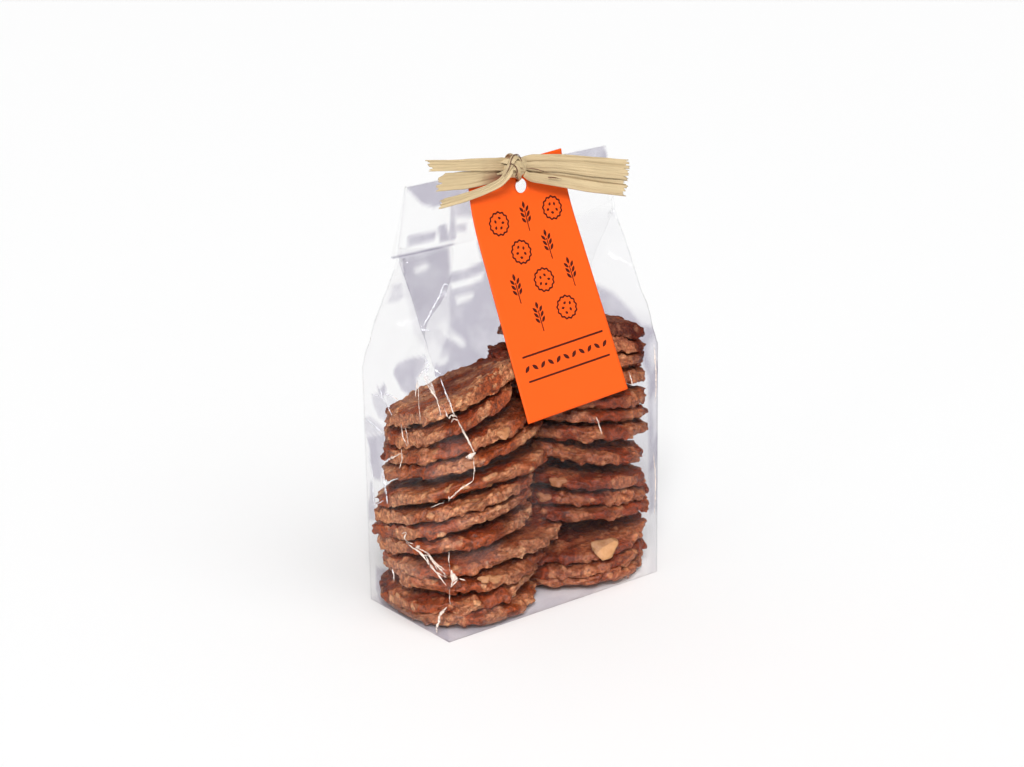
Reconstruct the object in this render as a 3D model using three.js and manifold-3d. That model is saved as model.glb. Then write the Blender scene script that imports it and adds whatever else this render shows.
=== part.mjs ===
// Clear side-gusset bag packed with two stacks of thin oat florentines, folded
// over at the top and tied with raffia that also holds a card tag.
//
// Millimetres. The origin is the middle of the flat base. X runs across the wide
// front, which faces -Y, and Z is up. The bag and its contents are one solid out
// to the film, with the rims of the cookies showing as ribs where they press on it.

import * as THREE from 'three';
import { mergeVertices } from 'three/addons/utils/BufferGeometryUtils.js';
import Module from 'manifold-3d';

// --- Bag ---------------------------------------------------------------------
const bagWidth = 120;          // front panel, crease to crease
const bagDepth = 60;           // side panel, crease to crease
const gussetDepth = bagDepth / 2;
const shoulderHeight = 112;    // where the corner creases start to lean together
const shoulderSag = 10;        // how much lower the middle of each panel starts
const pinchHeight = 167;       // where the panels meet
const foldHeight = 198.5;      // top of the folded header
const headerThickness = 1.6;
const headerTopWidth = 109;    // drawn in a little by the tie
const flapGap = 4;             // how far the hem of the folded mouth stands off
const flapThickness = 1.2;

// --- Cookies -----------------------------------------------------------------
const cookieDiameter = 66;
const layerCount = 13;         // rims in each stack
const leftPitch = 7.4;         // height of one layer at the left end of the bag
const rightPitch = 9.05;       // and at the right end
const stackX = 31;             // centre of each stack
const filmSlack = 1;           // between a stack and the film it presses out
const frontBulge = (cookieDiameter - bagDepth) / 2 + filmSlack;
const sideBulge = stackX + cookieDiameter / 2 - bagWidth / 2;
const ribHeight = 0.5;
const ribLower = 0.14;         // lower and upper edge of a rim, as shares of a layer
const ribUpper = 0.6;
const ribGroove = 0.86;

// --- Tag ---------------------------------------------------------------------
// The card leans out over the cookies below a soft bend, and hangs a little askew:
// each pair of angles, in degrees, is at its top edge and at its bottom edge.
const tagWidth = 53.6;
const tagLength = 111.2;
const tagThickness = 0.5;
const tagTop = new THREE.Vector3(0.2, -4.35, 201);     // middle of its top edge
const tagLean = [1.8, 19.3];
const tagBendLength = 35;
const tagRoll = [2.4, 5.3];
const tagTwist = [3.2, -4];
const tagDrift = 4.6;
const tagHoleRadius = 3.2;
const tagHole = { across: 1.75, down: 11.2 };

// --- Raffia ------------------------------------------------------------------
const ribbonThickness = 0.7;
const loopRadius = 1.1;
const loopReach = { height: 6.2, depth: 7.6, middle: -2.4 };
const headerHoleRadius = 3;
const knotCentre = new THREE.Vector3(-2.4, -9.8, 199.8);
const knotCore = { width: 8.8, depth: 5.8, height: 9.2 };
const wrapRadius = 4.2;        // the strand wrapped round the knot
const wrapThickness = 3.2;
const wrapFlat = 0.68;         // how far it is pressed flat, and drawn out upwards
const wrapTall = 1.2;
const wrapTurn = 102;          // degrees from across the front
const wrapShift = new THREE.Vector3(0.8, -0.2, 0.4);

// --- Colours -----------------------------------------------------------------
const filmFinish = { color: 0x9a6a4c, roughness: 0.25, metalness: 0 };
const tagFinish = { color: 0xf25a12, roughness: 0.6, metalness: 0 };
const raffiaFinish = { color: 0xd8c492, roughness: 0.75, metalness: 0 };

const object = new THREE.Group();

function addMesh(name, geometry, finish) {
  const mesh = new THREE.Mesh(geometry, new THREE.MeshStandardMaterial(finish));
  mesh.name = name;
  object.add(mesh);
  return mesh;
}

function smoothstep(low, high, value) {
  return THREE.MathUtils.smoothstep(value, low, high);
}

// Moves every vertex of a geometry, and welds the seams between its faces.
function reshape(geometry, move) {
  geometry.deleteAttribute('normal');
  geometry.deleteAttribute('uv');
  const welded = mergeVertices(geometry, 1e-4);
  const position = welded.attributes.position;
  const point = new THREE.Vector3();
  for (let i = 0; i < position.count; i += 1) {
    point.fromBufferAttribute(position, i);
    move(point);
    position.setXYZ(i, point.x, point.y, point.z);
  }
  welded.computeVertexNormals();
  return welded;
}

// --- Booleans ----------------------------------------------------------------
const solids = await Module();
solids.setup();

function toSolid(geometry) {
  const bare = geometry.clone();
  bare.deleteAttribute('normal');
  bare.deleteAttribute('uv');
  const merged = mergeVertices(bare, 1e-4);
  return new solids.Manifold(new solids.Mesh({
    numProp: 3,
    vertProperties: new Float32Array(merged.attributes.position.array),
    triVerts: new Uint32Array(merged.index.array),
  }));
}

function toGeometry(solid) {
  const { vertProperties, triVerts } = solid.getMesh();
  const geometry = new THREE.BufferGeometry();
  geometry.setAttribute('position', new THREE.BufferAttribute(new Float32Array(vertProperties), 3));
  geometry.setIndex(new THREE.BufferAttribute(new Uint32Array(triVerts), 1));
  geometry.computeVertexNormals();
  return geometry;
}

// --- The bag's form ----------------------------------------------------------

// Height of layer k at x: the layers lie flat on the base and fan out to the right.
function layerHeight(k, x) {
  const pitch = leftPitch + (rightPitch - leftPitch) * smoothstep(-bagWidth / 2, bagWidth * 0.1, x);
  return k * pitch;
}

// Half the width of the front panel at height z.
function halfWidth(z) {
  const header = THREE.MathUtils.clamp((z - pinchHeight) / (foldHeight - pinchHeight), 0, 1);
  return bagWidth / 2 - header * (bagWidth - headerTopWidth) / 2;
}

// Half the depth of the bag at height z, across from -1 to 1 between the creases.
// The panels sag between their creases, and more over the lower stack on the left.
function halfDepth(z, across) {
  const start = shoulderHeight - shoulderSag * (1 - across ** 2) * (1 - across / 2);
  const lean = THREE.MathUtils.clamp((z - start) / (pinchHeight - start), 0, 1);
  const closed = headerThickness / 2;
  return closed + (bagDepth / 2 - closed) * (1 - lean ** 1.1);
}

// How far the side panel folds inwards at height z.
function gussetInset(z) {
  const opening = smoothstep(shoulderHeight + 4, pinchHeight - 7, z);
  const closing = smoothstep(pinchHeight, pinchHeight + 6, z);
  return gussetDepth * opening * (1 - closing);
}

// How full the bag is at (x, z): 1 beside the cookies, 0 on the base and above them.
function fill(x, z) {
  const top = layerHeight(layerCount, x);
  return smoothstep(0, 7, z) * (1 - smoothstep(top - 26, top - 4, z));
}

// Two round stacks behind the front film: 1 over each stack, 0 at the creases.
function frontLobe(x) {
  const fromStack = Math.abs(Math.abs(x) - stackX);
  const reach = Math.abs(x) > stackX ? bagWidth / 2 - stackX : stackX;
  const fall = Math.cos(Math.min(fromStack / reach, 1) * Math.PI / 2);
  return Math.abs(x) > stackX ? fall : 0.72 + 0.28 * fall;
}

// The rows of the bag's mesh: the rim of each cookie, then the gable and header.
const gableRows = 9;
const headerRows = 4;
const rimShares = [ribLower, ribUpper, ribGroove];
const bodyRows = layerCount * rimShares.length;
const rowCount = bodyRows + gableRows + headerRows;

function rowHeight(row, x) {
  if (row === 0) return 0;
  if (row <= bodyRows) {
    const layer = Math.floor((row - 1) / rimShares.length);
    return layerHeight(layer + rimShares[(row - 1) % rimShares.length], x);
  }
  const bodyTop = layerHeight(layerCount - 1 + ribGroove, x);
  if (row <= bodyRows + gableRows) {
    return THREE.MathUtils.lerp(bodyTop, pinchHeight, (row - bodyRows) / gableRows);
  }
  return THREE.MathUtils.lerp(pinchHeight, foldHeight, (row - bodyRows - gableRows) / headerRows);
}

function rowRib(row) {
  if (row === 0 || row > bodyRows) return 0;
  return (row - 1) % rimShares.length === rimShares.length - 1 ? -ribHeight : ribHeight;
}

// Point of the film: across and through run from -1 to 1, row counts up the mesh.
function filmPoint(across, through, row) {
  const guessX = across * bagWidth / 2;
  const z = rowHeight(row, guessX);
  const full = fill(guessX, z);
  const side = (sideBulge + rowRib(row)) * full * (1 - through ** 2);
  const inset = gussetInset(z) * (1 - Math.abs(through));
  const x = across * (halfWidth(z) + side - inset);
  const front = (frontBulge + rowRib(row)) * full * frontLobe(guessX);
  return new THREE.Vector3(x, through * (halfDepth(z, across) + front), z);
}

function makeBag() {
  const columns = 20;
  const sideColumns = 8;
  const box = new THREE.BoxGeometry(2, 2, rowCount, columns, sideColumns, rowCount);
  const film = reshape(box, (point) => {
    const row = Math.round(point.z + rowCount / 2);
    point.copy(filmPoint(point.x, point.y, row));
  });

  // The mouth, folded down behind the header, with a hem that stands off a little.
  const flapRows = 6;
  const flapTop = foldHeight - 1;
  const flapBox = new THREE.BoxGeometry(2, 1, 1, 14, 1, flapRows);
  const flap = reshape(flapBox, (point) => {
    const down = 0.5 - point.z;
    const z = THREE.MathUtils.lerp(flapTop, pinchHeight, down);
    const wave = 0.5 + 0.5 * Math.cos(point.x * Math.PI * 1.5);
    const stand = flapGap * down ** 1.5 * (0.6 + 0.4 * wave);
    point.x *= halfWidth(z);
    point.y = headerThickness / 2 - 0.2 + stand + flapThickness * (point.y + 0.5);
    point.z = z;
  });

  const hole = new THREE.CylinderGeometry(headerHoleRadius, headerHoleRadius, 20, 16);
  hole.translate(headerHole.x, 0, headerHole.z);
  return toGeometry(toSolid(film).add(toSolid(flap)).subtract(toSolid(hole)));
}

// --- Tag ---------------------------------------------------------------------

// A frame on the card at a distance down from its top edge.
function tagFrame(down) {
  const steps = 40;
  const origin = tagTop.clone();
  const direction = new THREE.Vector3();
  const angle = (pair, share) => THREE.MathUtils.degToRad(THREE.MathUtils.lerp(...pair, share));
  const drift = THREE.MathUtils.degToRad(tagDrift);
  for (let i = 0; i < steps; i += 1) {
    const lean = angle(tagLean, smoothstep(0, tagBendLength, down * (i + 0.5) / steps));
    direction.set(Math.sin(drift), -Math.sin(lean), -Math.cos(lean)).normalize();
    origin.addScaledVector(direction, down / steps);
  }
  const roll = angle(tagRoll, down / tagLength);
  const twist = angle(tagTwist, down / tagLength);
  const across = new THREE.Vector3(Math.cos(roll) * Math.cos(twist), Math.sin(twist), Math.sin(roll));
  across.normalize();
  const front = new THREE.Vector3().crossVectors(direction, across).normalize();
  return { origin, across, front };
}

function tagPoint(across, down, out) {
  const frame = tagFrame(down);
  return frame.origin
    .addScaledVector(frame.across, across)
    .addScaledVector(frame.front, out);
}

const holeCentre = tagPoint(tagHole.across, tagHole.down, 0);
const headerHole = new THREE.Vector3(holeCentre.x, 0, holeCentre.z + 0.9);

function makeTag() {
  const rows = 24;
  const box = new THREE.BoxGeometry(tagWidth, tagThickness, tagLength, 2, 1, rows);
  const card = reshape(box, (point) => {
    point.copy(tagPoint(point.x, tagLength / 2 - point.z, -point.y));
  });
  const frame = tagFrame(tagHole.down);
  const punch = new THREE.CylinderGeometry(tagHoleRadius, tagHoleRadius, 6, 28);
  const turn = new THREE.Quaternion().setFromUnitVectors(new THREE.Vector3(0, 1, 0), frame.front);
  punch.applyQuaternion(turn);
  punch.translate(holeCentre.x, holeCentre.y, holeCentre.z);
  return toGeometry(toSolid(card).subtract(toSolid(punch)));
}

// --- Raffia ------------------------------------------------------------------

// A flat strand along a curve. Its width stands upright, and it cups a little.
function makeRibbon({ points, startWidth, endWidth, cup, slant }) {
  const curve = new THREE.CatmullRomCurve3(points.map((p) => new THREE.Vector3(...p)));
  const box = new THREE.BoxGeometry(1, 1, 1, 12, 2, 1);
  const up = new THREE.Vector3(0, 0, 1);
  return reshape(box, (point) => {
    const along = point.x + 0.5;
    const centre = curve.getPointAt(along);
    const tangent = curve.getTangentAt(along);
    const normal = new THREE.Vector3().crossVectors(tangent, up).normalize();
    const across = new THREE.Vector3().crossVectors(normal, tangent).normalize();
    const width = THREE.MathUtils.lerp(startWidth, endWidth, Math.sqrt(along));
    const share = point.y;
    const out = cup * (1 - 4 * share * share) + ribbonThickness * point.z;
    point.copy(centre)
      .addScaledVector(across, share * width)
      .addScaledVector(tangent, -slant * (share + 0.5) * along ** 8)
      .addScaledVector(normal, out);
  });
}

const ribbons = {
  raffia_tail_upper_left: {
    points: [[-9.2, -9.8, 202.6], [-18.8, -8.9, 203.9], [-29.1, -8.0, 205.2], [-46.5, -6.8, 207.6]],
    startWidth: 5.4, endWidth: 4.4, cup: 0.4, slant: -3,
  },
  raffia_tail_middle_left: {
    points: [[-9.0, -8.4, 197.9], [-19.3, -7.9, 198.0], [-27.7, -7.2, 198.2], [-42.6, -6.4, 199.5]],
    startWidth: 5.0, endWidth: 7.6, cup: 0.5, slant: 1.5,
  },
  raffia_tail_lower_left: {
    points: [[-9.4, -12.0, 197.3], [-15.0, -11.4, 195.0], [-27.7, -9.4, 191.8], [-44.6, -7.6, 190.2]],
    startWidth: 3.0, endWidth: 3.8, cup: 0.3, slant: 2,
  },
  raffia_ribbon_top_right: {
    points: [[4.6, -9.0, 202.1], [19.9, -11.0, 199.9], [36.2, -15.0, 196.6], [51.8, -19.5, 193.5]],
    startWidth: 3.4, endWidth: 4.9, cup: 0.4, slant: 0.8,
  },
  raffia_ribbon_upper_right: {
    points: [[4.6, -10.5, 199.4], [18.8, -12.3, 197.0], [35.1, -16.4, 193.3], [50.2, -20.9, 190.0]],
    startWidth: 3.4, endWidth: 5.2, cup: 0.4, slant: 0.6,
  },
  raffia_ribbon_middle_right: {
    points: [[4.6, -9.0, 196.9], [19.8, -11.0, 193.3], [36.2, -15.0, 189.1], [50.3, -19.5, 186.0]],
    startWidth: 3.2, endWidth: 5.2, cup: 0.4, slant: 0.4,
  },
  raffia_ribbon_lower_right: {
    points: [[4.6, -10.5, 194.6], [18.7, -12.3, 190.4], [35.1, -16.4, 185.8], [48.9, -20.9, 182.6]],
    startWidth: 3.0, endWidth: 4.8, cup: 0.4, slant: 0.2,
  },
};

// The loop through the card and the header and over the fold, with the knot on it.
function makeKnot() {
  const loopHeight = headerHole.z + loopReach.height;
  const ring = new THREE.TorusGeometry(1, loopRadius / loopReach.height, 8, 28);
  const loop = reshape(ring, (point) => {
    const nearKnot = smoothstep(0.3, 1, -point.x);
    point.set(
      THREE.MathUtils.lerp(headerHole.x, knotCentre.x, nearKnot) + point.z * loopReach.height,
      loopReach.middle + point.x * loopReach.depth,
      loopHeight + point.y * loopReach.height,
    );
  });
  const core = new THREE.SphereGeometry(1, 16, 10);
  core.scale(knotCore.width / 2, knotCore.depth / 2, knotCore.height / 2);
  core.translate(knotCentre.x, knotCentre.y, knotCentre.z);
  const wrap = new THREE.TorusGeometry(wrapRadius, wrapThickness / 2, 8, 24);
  wrap.scale(1, wrapFlat, wrapTall);
  wrap.rotateY(THREE.MathUtils.degToRad(wrapTurn));
  wrap.translate(knotCentre.x + wrapShift.x, knotCentre.y + wrapShift.y, knotCentre.z + wrapShift.z);
  return toGeometry(toSolid(loop).add(toSolid(core)).add(toSolid(wrap)));
}

addMesh('bag_of_cookies', makeBag(), filmFinish);
addMesh('tag', makeTag(), tagFinish);
addMesh('raffia_knot', makeKnot(), raffiaFinish);
for (const [name, strand] of Object.entries(ribbons)) {
  addMesh(name, makeRibbon(strand), raffiaFinish);
}

export default object;
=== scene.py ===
"""Looks of a clear gift bag of florentine cookies, tied with raffia through a card tag."""

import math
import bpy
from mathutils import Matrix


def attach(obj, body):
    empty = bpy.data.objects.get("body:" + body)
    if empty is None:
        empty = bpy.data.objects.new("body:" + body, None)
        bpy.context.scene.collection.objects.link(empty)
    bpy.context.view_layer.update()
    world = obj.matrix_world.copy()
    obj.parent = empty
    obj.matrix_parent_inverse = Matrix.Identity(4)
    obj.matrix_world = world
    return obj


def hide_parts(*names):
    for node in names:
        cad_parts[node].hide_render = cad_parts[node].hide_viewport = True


bl_info = {
    "name": "Bag of Florentine Cookies",
    "version": (1, 0, 0),
    "blender": (4, 5, 0),
    "location": "3D View > Sidebar > Cookie Bag",
    "description": "Makes the film, the cookies, the tag and the raffia of a tied cookie bag",
    "category": "Object",
}

import bmesh
import bpy
import numpy as np
from bpy.props import FloatProperty, FloatVectorProperty, IntProperty, PointerProperty
from mathutils import Euler, Matrix, Vector, kdtree, noise

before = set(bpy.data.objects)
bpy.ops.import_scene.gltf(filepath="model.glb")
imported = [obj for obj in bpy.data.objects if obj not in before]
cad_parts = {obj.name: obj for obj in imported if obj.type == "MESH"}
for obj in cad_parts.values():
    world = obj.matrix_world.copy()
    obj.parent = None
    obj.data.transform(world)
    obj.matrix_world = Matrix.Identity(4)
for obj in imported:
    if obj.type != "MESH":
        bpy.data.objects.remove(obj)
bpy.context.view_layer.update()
MM = 0.001

# --- The bag's form, in millimetres, as in the CAD model ---------------------------

BAG_WIDTH = 120.0
BAG_DEPTH = 60.0
SHOULDER = 112.0        # height where the corner creases start to lean together
SHOULDER_SAG = 10.0
PINCH = 167.0           # height where the panels meet
FOLD = 198.5            # top of the folded header
HEADER = 1.6            # thickness of the header
HEADER_TOP_WIDTH = 109.0
LEAN_CURVE = 1.1        # how the corner creases bend as they lean together
GUSSET_OPENS = (SHOULDER + 4, PINCH - 7)    # heights where the side panels fold inwards
GUSSET_CLOSES = (PINCH, PINCH + 6)          # heights where that fold is pressed flat
STACK_X = 31.0
FRONT_BULGE = 4.0
SIDE_BULGE = 4.0
BETWEEN_STACKS = 0.72   # share of the front's bulge left between the stacks
BASE_SWELL = 7.0        # height over which the film swells out from its flat base
TOP_FADE = (26.0, 4.0)  # depths under the top cookies where the swelling fades
LAYERS = 13
LEFT_PITCH = 7.4
RIGHT_PITCH = 9.05


def smoothstep(low, high, value):
    """The smooth share of the way from low to high, 0 to 1."""
    t = min(max((value - low) / (high - low), 0.0), 1.0)
    return t * t * (3 - 2 * t)


def lerp(a, b, t):
    """The value a share t of the way from a to b."""
    return a + (b - a) * t


def half_width(z):
    """Half the width of the front panel at height z."""
    header = min(max((z - PINCH) / (FOLD - PINCH), 0.0), 1.0)
    return BAG_WIDTH / 2 - header * (BAG_WIDTH - HEADER_TOP_WIDTH) / 2


def half_depth(z, across):
    """Half the depth of the bag at height z, across from -1 to 1 between the creases."""
    start = SHOULDER - SHOULDER_SAG * (1 - across**2) * (1 - across / 2)
    lean = min(max((z - start) / (PINCH - start), 0.0), 1.0)
    closed = HEADER / 2
    return closed + (BAG_DEPTH / 2 - closed) * (1 - lean**LEAN_CURVE)


def gusset_inset(z):
    """How far the middle of a side panel folds inwards at height z."""
    opening = smoothstep(*GUSSET_OPENS, z)
    closing = smoothstep(*GUSSET_CLOSES, z)
    return BAG_DEPTH / 2 * opening * (1 - closing)


def fill(x, z):
    """How full the bag is at (x, z): 1 beside the cookies, 0 on the base and above them."""
    pitch = lerp(LEFT_PITCH, RIGHT_PITCH, smoothstep(-BAG_WIDTH / 2, BAG_WIDTH * 0.1, x))
    top = LAYERS * pitch
    return smoothstep(0, BASE_SWELL, z) * (1 - smoothstep(top - TOP_FADE[0], top - TOP_FADE[1], z))


def front_lobe(x):
    """The two round stacks behind the front panel: 1 over each stack, 0 at the creases."""
    from_stack = abs(abs(x) - STACK_X)
    outside = abs(x) > STACK_X
    reach = BAG_WIDTH / 2 - STACK_X if outside else STACK_X
    fall = math.cos(min(from_stack / reach, 1) * math.pi / 2)
    return fall if outside else BETWEEN_STACKS + (1 - BETWEEN_STACKS) * fall


def film_point(across, through, z):
    """A point of the film: across and through run from -1 to 1."""
    guess = across * BAG_WIDTH / 2
    full = fill(guess, z)
    side = SIDE_BULGE * full * (1 - through**2)
    inset = gusset_inset(z) * (1 - abs(through))
    x = across * (half_width(z) + side - inset)
    front = FRONT_BULGE * full * front_lobe(guess)
    return Vector((x, through * (half_depth(z, across) + front), z))


# --- The tag's form ----------------------------------------------------------------

TAG_WIDTH = 53.6
TAG_LENGTH = 111.2
TAG_TOP = Vector((0.2, -4.35, 201.0))
TAG_LEAN = (1.8, 19.3)      # degrees that it leans forwards, above and below its bend
TAG_BEND = 35.0             # how far down it bends
TAG_ROLL = (2.4, 5.3)       # degrees, at its top and bottom
TAG_TWIST = (3.2, -4.0)
TAG_DRIFT = 4.6             # degrees that it hangs off the upright
TAG_HOLE = (1.75, 11.2)
TAG_HOLE_RADIUS = 3.2


def tag_frame(down):
    """Origin, across and front of the card at a distance down from its top edge."""
    steps = 40
    origin = TAG_TOP.copy()
    drift = math.radians(TAG_DRIFT)
    for i in range(steps):
        bend = smoothstep(0, TAG_BEND, down * (i + 0.5) / steps)
        lean = math.radians(lerp(*TAG_LEAN, bend))
        direction = Vector((math.sin(drift), -math.sin(lean), -math.cos(lean))).normalized()
        origin = origin + direction * (down / steps)
    roll = math.radians(lerp(*TAG_ROLL, down / TAG_LENGTH))
    twist = math.radians(lerp(*TAG_TWIST, down / TAG_LENGTH))
    across = Vector((math.cos(roll) * math.cos(twist), math.sin(twist), math.sin(roll)))
    across.normalize()
    front = direction.cross(across).normalized()
    return origin, across, front


TAG_STEP = 0.5
TAG_FRAMES = [tag_frame(i * TAG_STEP) for i in range(int(TAG_LENGTH / TAG_STEP) + 2)]


def tag_point(across, down, out):
    """A point on the card, out millimetres in front of its middle surface."""
    place = min(max(down / TAG_STEP, 0.0), len(TAG_FRAMES) - 1.001)
    low = int(place)
    share = place - low
    first, second = TAG_FRAMES[low], TAG_FRAMES[low + 1]
    origin = first[0].lerp(second[0], share)
    side = first[1].lerp(second[1], share)
    front = first[2].lerp(second[2], share)
    return origin + side * across + front * out


# --- The stacks --------------------------------------------------------------------
# One line a cookie, from the bottom of each stack: centre x and y, height of its
# underside there, slope along x and along y, radius, stretch along x, and doming.
LEFT_STACK = (
    (-30.9, 1.0, 1.2, 0.006, -0.026, 34.4, 1.0, 0.0),
    (-31.9, 1.8, 9.0, 0.093, -0.064, 35.0, 1.0, 0.0),
    (-28.1, 1.9, 18.0, 0.000, -0.018, 35.8, 1.04, 0.0),
    (-23.2, 0.7, 26.5, 0.054, -0.082, 35.0, 1.18, 0.0),
    (-32.5, 2.5, 34.3, 0.072, -0.188, 35.4, 1.0, 0.0),
    (-32.5, 2.7, 42.6, 0.095, -0.265, 35.4, 1.0, 0.0),
    (-32.5, 2.3, 49.2, 0.089, -0.272, 35.4, 1.0, 0.0),
    (-26.7, 2.1, 57.4, 0.062, -0.320, 35.4, 1.18, 0.0),
    (-28.6, -0.2, 72.6, 0.191, -0.225, 34.2, 1.03, 0.0),
    (-31.6, 0.4, 80.2, 0.177, -0.200, 33.8, 1.0, 0.0),
    (-35.9, -0.4, 89.5, 0.270, -0.310, 33.0, 0.84, 0.0),
    (-31.0, -1.6, 99.8, 0.270, -0.330, 32.8, 1.0, 0.0),
)
RIGHT_STACK = (
    (32.8, -1.2, 1.2, -0.025, -0.018, 33.0, 1.0, 0.0),
    (33.0, -1.2, 8.6, 0.034, 0.005, 33.6, 1.0, 0.0),
    (32.8, -0.8, 15.9, 0.080, -0.003, 33.8, 1.0, 0.0),
    (33.2, -1.0, 31.2, -0.119, -0.109, 34.0, 1.0, 0.0),
    (33.2, -1.0, 38.1, -0.145, -0.092, 33.8, 1.0, 0.0),
    (33.0, -1.0, 45.3, -0.170, -0.109, 34.0, 1.0, 0.0),
    (33.8, -0.4, 58.4, -0.250, -0.040, 32.6, 1.0, 0.0),
    (33.2, -1.0, 68.4, -0.182, -0.085, 34.0, 1.0, 0.0),
    (33.2, -1.0, 77.6, -0.220, -0.090, 34.0, 1.0, 0.0),
    (33.2, -0.8, 85.4, -0.210, -0.080, 34.0, 1.0, 0.0),
    (33.0, -0.8, 94.4, -0.200, -0.080, 33.8, 1.0, 0.0),
    (30.2, -0.6, 101.0, -0.215, -0.165, 33.8, 1.08, 0.0),
    (35.8, -2.2, 107.9, -0.245, -0.165, 31.0, 1.0, 0.0),
    (33.6, -0.6, 117.3, -0.183, -0.175, 33.4, 1.0, 4.2),
)
COOKIE_RADIUS = 32.5
COOKIE_HALF = 3.5           # height of a cookie's middle over its underside

# Pale almond flakes baked into the rims: stack, cookie counted from the bottom, degrees
# round its rim, height over its middle, half length, half width, tilt from lying flat and
# how pale it is.
ALMONDS = (
    ("right", 3, -101, 3.4, 6.2, 4.4, 58, 0.9),
    ("right", 6, -140, 0.6, 3.6, 2.1, 70, 0.4),
    ("right", 5, -151, 0.4, 3.2, 1.9, 70, 0.3),
    ("left", 3, -110, 3.2, 3.0, 1.6, 50, 0.65),
    ("left", 3, -103, 2.4, 3.2, 1.5, 66, 0.65),
    ("left", 10, -88, 0.8, 3.4, 2.2, 60, 0.45),
    ("left", 9, -120, 0.6, 3.2, 1.8, 66, 0.3),
)

# Dark patches of caramel on the rims: stack and cookie, degrees round its rim, and reach.
CARAMEL_SPOTS = {
    ("left", 2): ((-152, 10.0),),
    ("left", 3): ((-119, 8.0),),
    ("left", 5): ((-101, 12.0),),
}


# --- Small helpers -----------------------------------------------------------------


def add_object(name, mesh, material, node=None):
    """Links a mesh as a piece that rides on the root, with its finish and its CAD node."""
    piece = bpy.data.objects.new(name, mesh)
    bpy.context.scene.collection.objects.link(piece)
    piece.data.materials.append(material)
    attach(piece, "root")
    if node:
        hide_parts(node)
    return piece


def smooth_faces(mesh):
    """Shades every face of a mesh smooth."""
    mesh.polygons.foreach_set("use_smooth", np.ones(len(mesh.polygons), dtype=bool))


def new_bmesh(*layers):
    """An empty bmesh whose points hold the named attributes."""
    bm = bmesh.new()
    for layer in layers:
        bm.verts.layers.float.new(layer)
    return bm


def mesh_from(bm, name):
    """A mesh made from a bmesh in millimetres, in metres, with smooth faces."""
    bmesh.ops.scale(bm, vec=(MM, MM, MM), verts=bm.verts)
    mesh = bpy.data.meshes.new(name)
    bm.to_mesh(mesh)
    bm.free()
    smooth_faces(mesh)
    return mesh


def apply_modifiers(piece):
    """The mesh of a piece with its modifiers applied, in place of the piece."""
    graph = bpy.context.evaluated_depsgraph_get()
    graph.update()
    finished = bpy.data.meshes.new_from_object(piece.evaluated_get(graph))
    old = piece.data
    bpy.data.objects.remove(piece)
    bpy.data.meshes.remove(old)
    return finished


def thicken(piece, thickness, offset=0.0):
    """Gives a sheet its thickness: half to each side, or all inwards with an offset of -1."""
    wall = piece.modifiers.new("Thickness", "SOLIDIFY")
    wall.thickness = thickness
    wall.offset = offset


def new_material(name):
    """A material with an empty node tree, and the place on the object in it."""
    material = bpy.data.materials.new(name)
    material.use_nodes = True
    tree = material.node_tree
    tree.nodes.clear()
    return material, tree, tree.nodes.new("ShaderNodeTexCoord").outputs["Object"]


def show(tree, shader):
    """Shows a shader on the surface."""
    output = tree.nodes.new("ShaderNodeOutputMaterial")
    tree.links.new(shader.outputs[0], output.inputs["Surface"])


def add_node(tree, kind, links=None, **values):
    """A node with its settings, its input values and its links."""
    node = tree.nodes.new(kind)
    for key, value in values.items():
        if hasattr(node, key):
            setattr(node, key, value)
        else:
            node.inputs[key.replace("_", " ")].default_value = value
    for key, source in (links or {}).items():
        tree.links.new(source, node.inputs[key])
    return node


def attribute(tree, name):
    """A named attribute of the mesh."""
    return add_node(tree, "ShaderNodeAttribute", attribute_name=name).outputs["Fac"]


def bump_node(tree, height, strength, distance):
    """The normal of a surface with a height on it."""
    bump = add_node(tree, "ShaderNodeBump", {"Height": height}, Strength=strength, Distance=distance)
    return bump.outputs[0]


def math_node(tree, operation, first, second, clamp=False):
    """A Math node whose inputs are numbers or sockets."""
    node = add_node(tree, "ShaderNodeMath", operation=operation, use_clamp=clamp)
    for socket, value in zip(node.inputs, (first, second)):
        if isinstance(value, float):
            socket.default_value = value
        else:
            tree.links.new(value, socket)
    return node.outputs[0]


def ramp_node(tree, source, *stops):
    """A colour ramp from a socket through (place, colour or grey) stops."""
    node = tree.nodes.new("ShaderNodeValToRGB")
    ramp = node.color_ramp
    while len(ramp.elements) < len(stops):
        ramp.elements.new(0.5)
    for element, (place, colour) in zip(ramp.elements, stops):
        element.position = place
        element.color = (*(colour,) * 3, 1) if isinstance(colour, float) else (*colour, 1)
    tree.links.new(source, node.inputs[0])
    return node.outputs[0]


def mix_colour(tree, share, first, second, blend="MIX"):
    """A colour mix of two colours or sockets by a share."""
    node = add_node(tree, "ShaderNodeMix", data_type="RGBA", blend_type=blend)
    for socket, value in ((0, share), (6, first), (7, second)):
        if isinstance(value, bpy.types.NodeSocket):
            tree.links.new(value, node.inputs[socket])
        elif isinstance(value, float):
            node.inputs[socket].default_value = value
        else:
            node.inputs[socket].default_value = (*value, 1)
    return node.outputs[2]


def matter(tree, links, roughness=0.5, specular=0.5):
    """A plain solid matter with its links, roughness and specular level."""
    return add_node(
        tree, "ShaderNodeBsdfPrincipled", links, Roughness=roughness, Specular_IOR_Level=specular
    )


def mix_shader(tree, share, first, second):
    """A mix of two shaders by a share."""
    return add_node(
        tree, "ShaderNodeMixShader", {0: share, 1: first.outputs[0], 2: second.outputs[0]}
    )


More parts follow.
